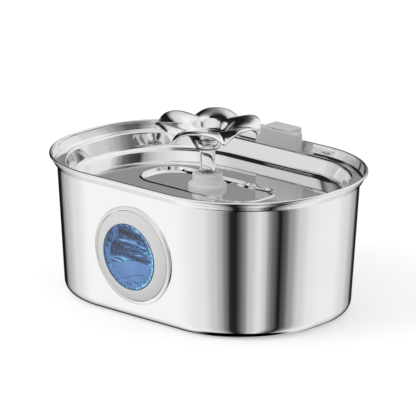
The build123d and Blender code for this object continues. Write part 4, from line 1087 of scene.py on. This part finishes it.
# A painted highlight round the rim, brighter to the right.
rim_light = math_node(tree, "ADD", light_patches, times(across, RIM_SLOPE))
rim_colour = ramp_node(tree, rim_light, RIM_STOPS)
rim_zone = times(range_node(tree, radius, *BRIGHT_RIM), RIM_SHARE)
colour = blend_node(tree, rim_zone, colour, rim_colour)
# Painted shade along the lens's outermost edge.
colour = blend_node(tree, range_node(tree, radius, *DARK_RIM), colour, SHADOW_BLUE)
tree.links.new(colour, shader.inputs["Base Color"])
set_inputs(shader, Roughness=LENS_ROUGHNESS, Specular_IOR_Level=LENS_SPECULAR)
print("lens paint ready")

# %% Turned window parts
trim_ring = on_window(spun("window_trim", trim_section))
done(trim_ring, "tank", spout_steel, ["window_trim_ring"])
bezel = on_window(spun("window_bezel_ring", bezel_section))
done(bezel, "tank", bezel_plastic, ["window_bezel"])
lens = on_window(spun("window_lens_disc", lens_section))
done(lens, "tank", lens_paint, ["window_lens"])

# %% [markdown]
# ## Hub, seal and tube
# A milky plastic hub is screwed into the tray's panel. The clear tube stands in it, sealed by a soft
# ring, and opens into a funnel that carries the petals. Light goes some way into the milky plastic, so
# it gets a little subsurface scattering. The tube is real clear plastic with an inner and outer wall.

# %% Clear and soft plastics
def clear_plastic(name, tint, ior):
    material, tree, shader, place = new_material(name)
    cloud = noise_node(tree, place, 120, 2)
    darker = [channel * 0.985 for channel in tint]
    noise_ramp(tree, shader, "Base Color", cloud, darker, tint)
    noise_ramp(tree, shader, "Roughness", cloud, 0.01, 0.03)
    set_inputs(shader, Transmission_Weight=1, IOR=ior)
    return material


tube_plastic = clear_plastic("clear_tube_plastic", (0.99, 0.99, 0.99), 1.30)
hub_plastic = plastic("milky_hub_plastic", (0.84, 0.84, 0.84), 0.30, 0.1, 0.02, 0.5)
seal_rubber = plastic("translucent_silicone", (0.62, 0.62, 0.62), 0.35, 0.1, 0.05, 0.5)
print("plastics of the spout:", tube_plastic.name, hub_plastic.name, seal_rubber.name)

# %% Hub, seal and tube
COLLAR_TOP, COLLAR_RADIUS, COLLAR_EDGE = 0.0974, 0.01135, 0.0010
FLANGE_THICK, HUB_FLANGE_RADIUS = 0.0034, 0.01435
HUB_SLEEVE, HUB_BOTTOM, HUB_BORE, STOP_TOP, STOP_THICK = 0.0082, 0.0733, 0.00578, 0.0806, 0.0016
RISER_SOCKET, TUBE_BORE, TUBE_RADIUS = 0.00655, 0.00435, 0.0057
SEAL_RADIUS, SEAL_TOP, SEAL_SEAT, SEAL_EDGE = 0.00748, 0.0982, 0.0958, 0.0006
hub_flange_top = PANEL_FLOOR + FLANGE_THICK
hub_section = [
    (HUB_BORE, STOP_TOP), (HUB_BORE, SEAL_SEAT), (SEAL_RADIUS, SEAL_SEAT), (SEAL_RADIUS, COLLAR_TOP),
]
hub_section += arc((COLLAR_RADIUS - COLLAR_EDGE, COLLAR_TOP - COLLAR_EDGE), COLLAR_EDGE, 90, 0, 8)
hub_section += arc(
    (COLLAR_RADIUS + SEAL_EDGE, hub_flange_top + SEAL_EDGE), SEAL_EDGE, 180, 270, 5
)
hub_section += arc(
    (HUB_FLANGE_RADIUS - COLLAR_EDGE, hub_flange_top - COLLAR_EDGE), COLLAR_EDGE, 90, 0, 8
)
hub_section += [
    (HUB_FLANGE_RADIUS, PANEL_FLOOR + SEAT_GAP), (HUB_SLEEVE, PANEL_FLOOR + SEAT_GAP),
    (HUB_SLEEVE, HUB_BOTTOM), (RISER_SOCKET, HUB_BOTTOM), (RISER_SOCKET, STOP_TOP - STOP_THICK),
    (TUBE_BORE, STOP_TOP - STOP_THICK), (TUBE_BORE, STOP_TOP),
]
hub = spun("spout_hub_moulding", hub_section)
done(hub, "tray", hub_plastic, ["spout_hub"])
seal_section = [(HUB_BORE, SEAL_SEAT), (SEAL_RADIUS, SEAL_SEAT)]
seal_section += arc((SEAL_RADIUS - SEAL_EDGE, SEAL_TOP - SEAL_EDGE), SEAL_EDGE, 0, 90, 6)
seal_section += arc((HUB_BORE + SEAL_EDGE, SEAL_TOP - SEAL_EDGE), SEAL_EDGE, 90, 180, 6)
seal = spun("tube_seal_ring", seal_section)
done(seal, "tray", seal_rubber, ["tube_seal"])

TUBE_TOP, NECK_HEIGHT, NECK_RADIUS = 0.1152, 0.1172, 0.0092
FUNNEL_TOP, FUNNEL_RADIUS, FUNNEL_WALL = 0.1258, 0.0140, 0.0012
BEND_OUTER, BEND_INNER, LIP = 0.0012, 0.0006, 0.0003
inner_funnel = FUNNEL_RADIUS - FUNNEL_WALL
tube_section = [(TUBE_BORE, STOP_TOP + SEAT_GAP), (TUBE_RADIUS, STOP_TOP + SEAT_GAP)]
tube_section += arc((TUBE_RADIUS + BEND_OUTER, TUBE_TOP - 0.0007), BEND_OUTER, 180, 120, 5)
tube_section += arc((NECK_RADIUS - BEND_OUTER, NECK_HEIGHT + 0.0004), BEND_OUTER, -60, -24, 4)
tube_section += [(FUNNEL_RADIUS, FUNNEL_TOP - LIP), (FUNNEL_RADIUS - LIP, FUNNEL_TOP)]
tube_section += [(inner_funnel + LIP, FUNNEL_TOP), (inner_funnel, FUNNEL_TOP - LIP)]
tube_section += arc((NECK_RADIUS - BEND_OUTER, NECK_HEIGHT + 0.0012), BEND_INNER, -24, -60, 4)
tube_section += [(TUBE_BORE, TUBE_TOP + 0.0004)]
tube = spun("clear_spout_tube", tube_section)
done(tube, "spout_tube", tube_plastic, ["spout_tube"])

# %% [markdown]
# ## The parts that stay as they are
# The cable guide and all that sits inside the tank keep the shape of the CAD model. They only need
# finishes: satin plastics, rubber, fleece, ceramic and the metals of the motor.

# %% Finishes of the inner parts
def fibre(name, colour, dark, scale, strength):
    """Loose fibre or granules: a strong bump, and painted shade that darkens the colour in its hollows.
    """
    material, tree, shader, place = new_material(name)
    grain = noise_node(tree, place, scale, 4, roughness=0.65)
    noise_ramp(tree, shader, "Base Color", grain, dark, colour, (0.35, 0.62))
    set_inputs(shader, Roughness=0.9)
    bump_node(tree, shader, grain, strength, 0.0004)
    return material


def metal(name, colour, roughness, stretch=(1, 1, 1)):
    material, tree, shader, place = new_material(name)
    set_inputs(shader, Metallic=1)
    lines = noise_node(tree, place, 300, 2, stretch)
    darker = [channel * 0.8 for channel in colour]
    noise_ramp(tree, shader, "Base Color", lines, darker, colour)
    noise_ramp(tree, shader, "Roughness", lines, roughness * 0.7, roughness * 1.3)
    return material


PLASTICS = {  # slot: name, colour, roughness, grain, mottle
    "grey_plastic": ("grey_guide_plastic", (0.60, 0.60, 0.605), 0.38, 0.15),
    "white_plastic": ("white_inner_plastic", (0.72, 0.72, 0.71), 0.35, 0.1),
    "black_plastic": ("black_pump_plastic", (0.022, 0.022, 0.024), 0.33, 0.2, 0.3),
    "black_rubber": ("black_rubber", (0.020, 0.020, 0.021), 0.62, 0.3, 0.3),
    "magnet": ("magnet_ferrite", (0.050, 0.048, 0.047), 0.45, 0.3, 0.2),
    "board_green": ("circuit_board_green", (0.03, 0.17, 0.075), 0.4, 0.1, 0.15),
    "ceramic": ("white_ceramic", (0.80, 0.78, 0.72), 0.15),
}
FIBRES = {  # slot: name, colour, colour with painted shade in the hollows, scale, strength of the bump
    "white_fleece": ("white_fleece", (0.80, 0.80, 0.78), (0.55, 0.55, 0.53), 700, 0.8),
    "carbon": ("carbon_granules", (0.035, 0.035, 0.036), (0.006, 0.006, 0.006), 500, 1.0),
    "grey_foam": ("grey_foam", (0.22, 0.22, 0.22), (0.08, 0.08, 0.08), 800, 0.9),
}
METALS = {  # slot: name, colour, roughness, stretch of the lines
    "shaft_steel": ("ground_shaft_steel", (0.62, 0.62, 0.61), 0.2, (0.2, 1, 1)),
    "core_iron": ("laminated_core_iron", (0.30, 0.29, 0.28), 0.4, (6, 0.3, 0.3)),
    "copper": ("enamelled_copper", (0.72, 0.30, 0.14), 0.28, (8, 0.5, 0.5)),
}
finishes = {"soft_rubber": seal_rubber, "clear_plastic": tube_plastic}
for make, table in ((plastic, PLASTICS), (fibre, FIBRES), (metal, METALS)):
    for slot, values in table.items():
        finishes[slot] = make(*values)
print("finishes made:", len(finishes))

# %% Finishes given to the nodes
for subpart in frame["record"]["subparts"]:
    if subpart["node"] in dressed:
        continue
    node = nodes[subpart["node"]]
    node.data.materials.clear()
    node.data.materials.append(finishes[subpart["material_slot"]])
    print(subpart["node"], "in", node.data.materials[0].name)
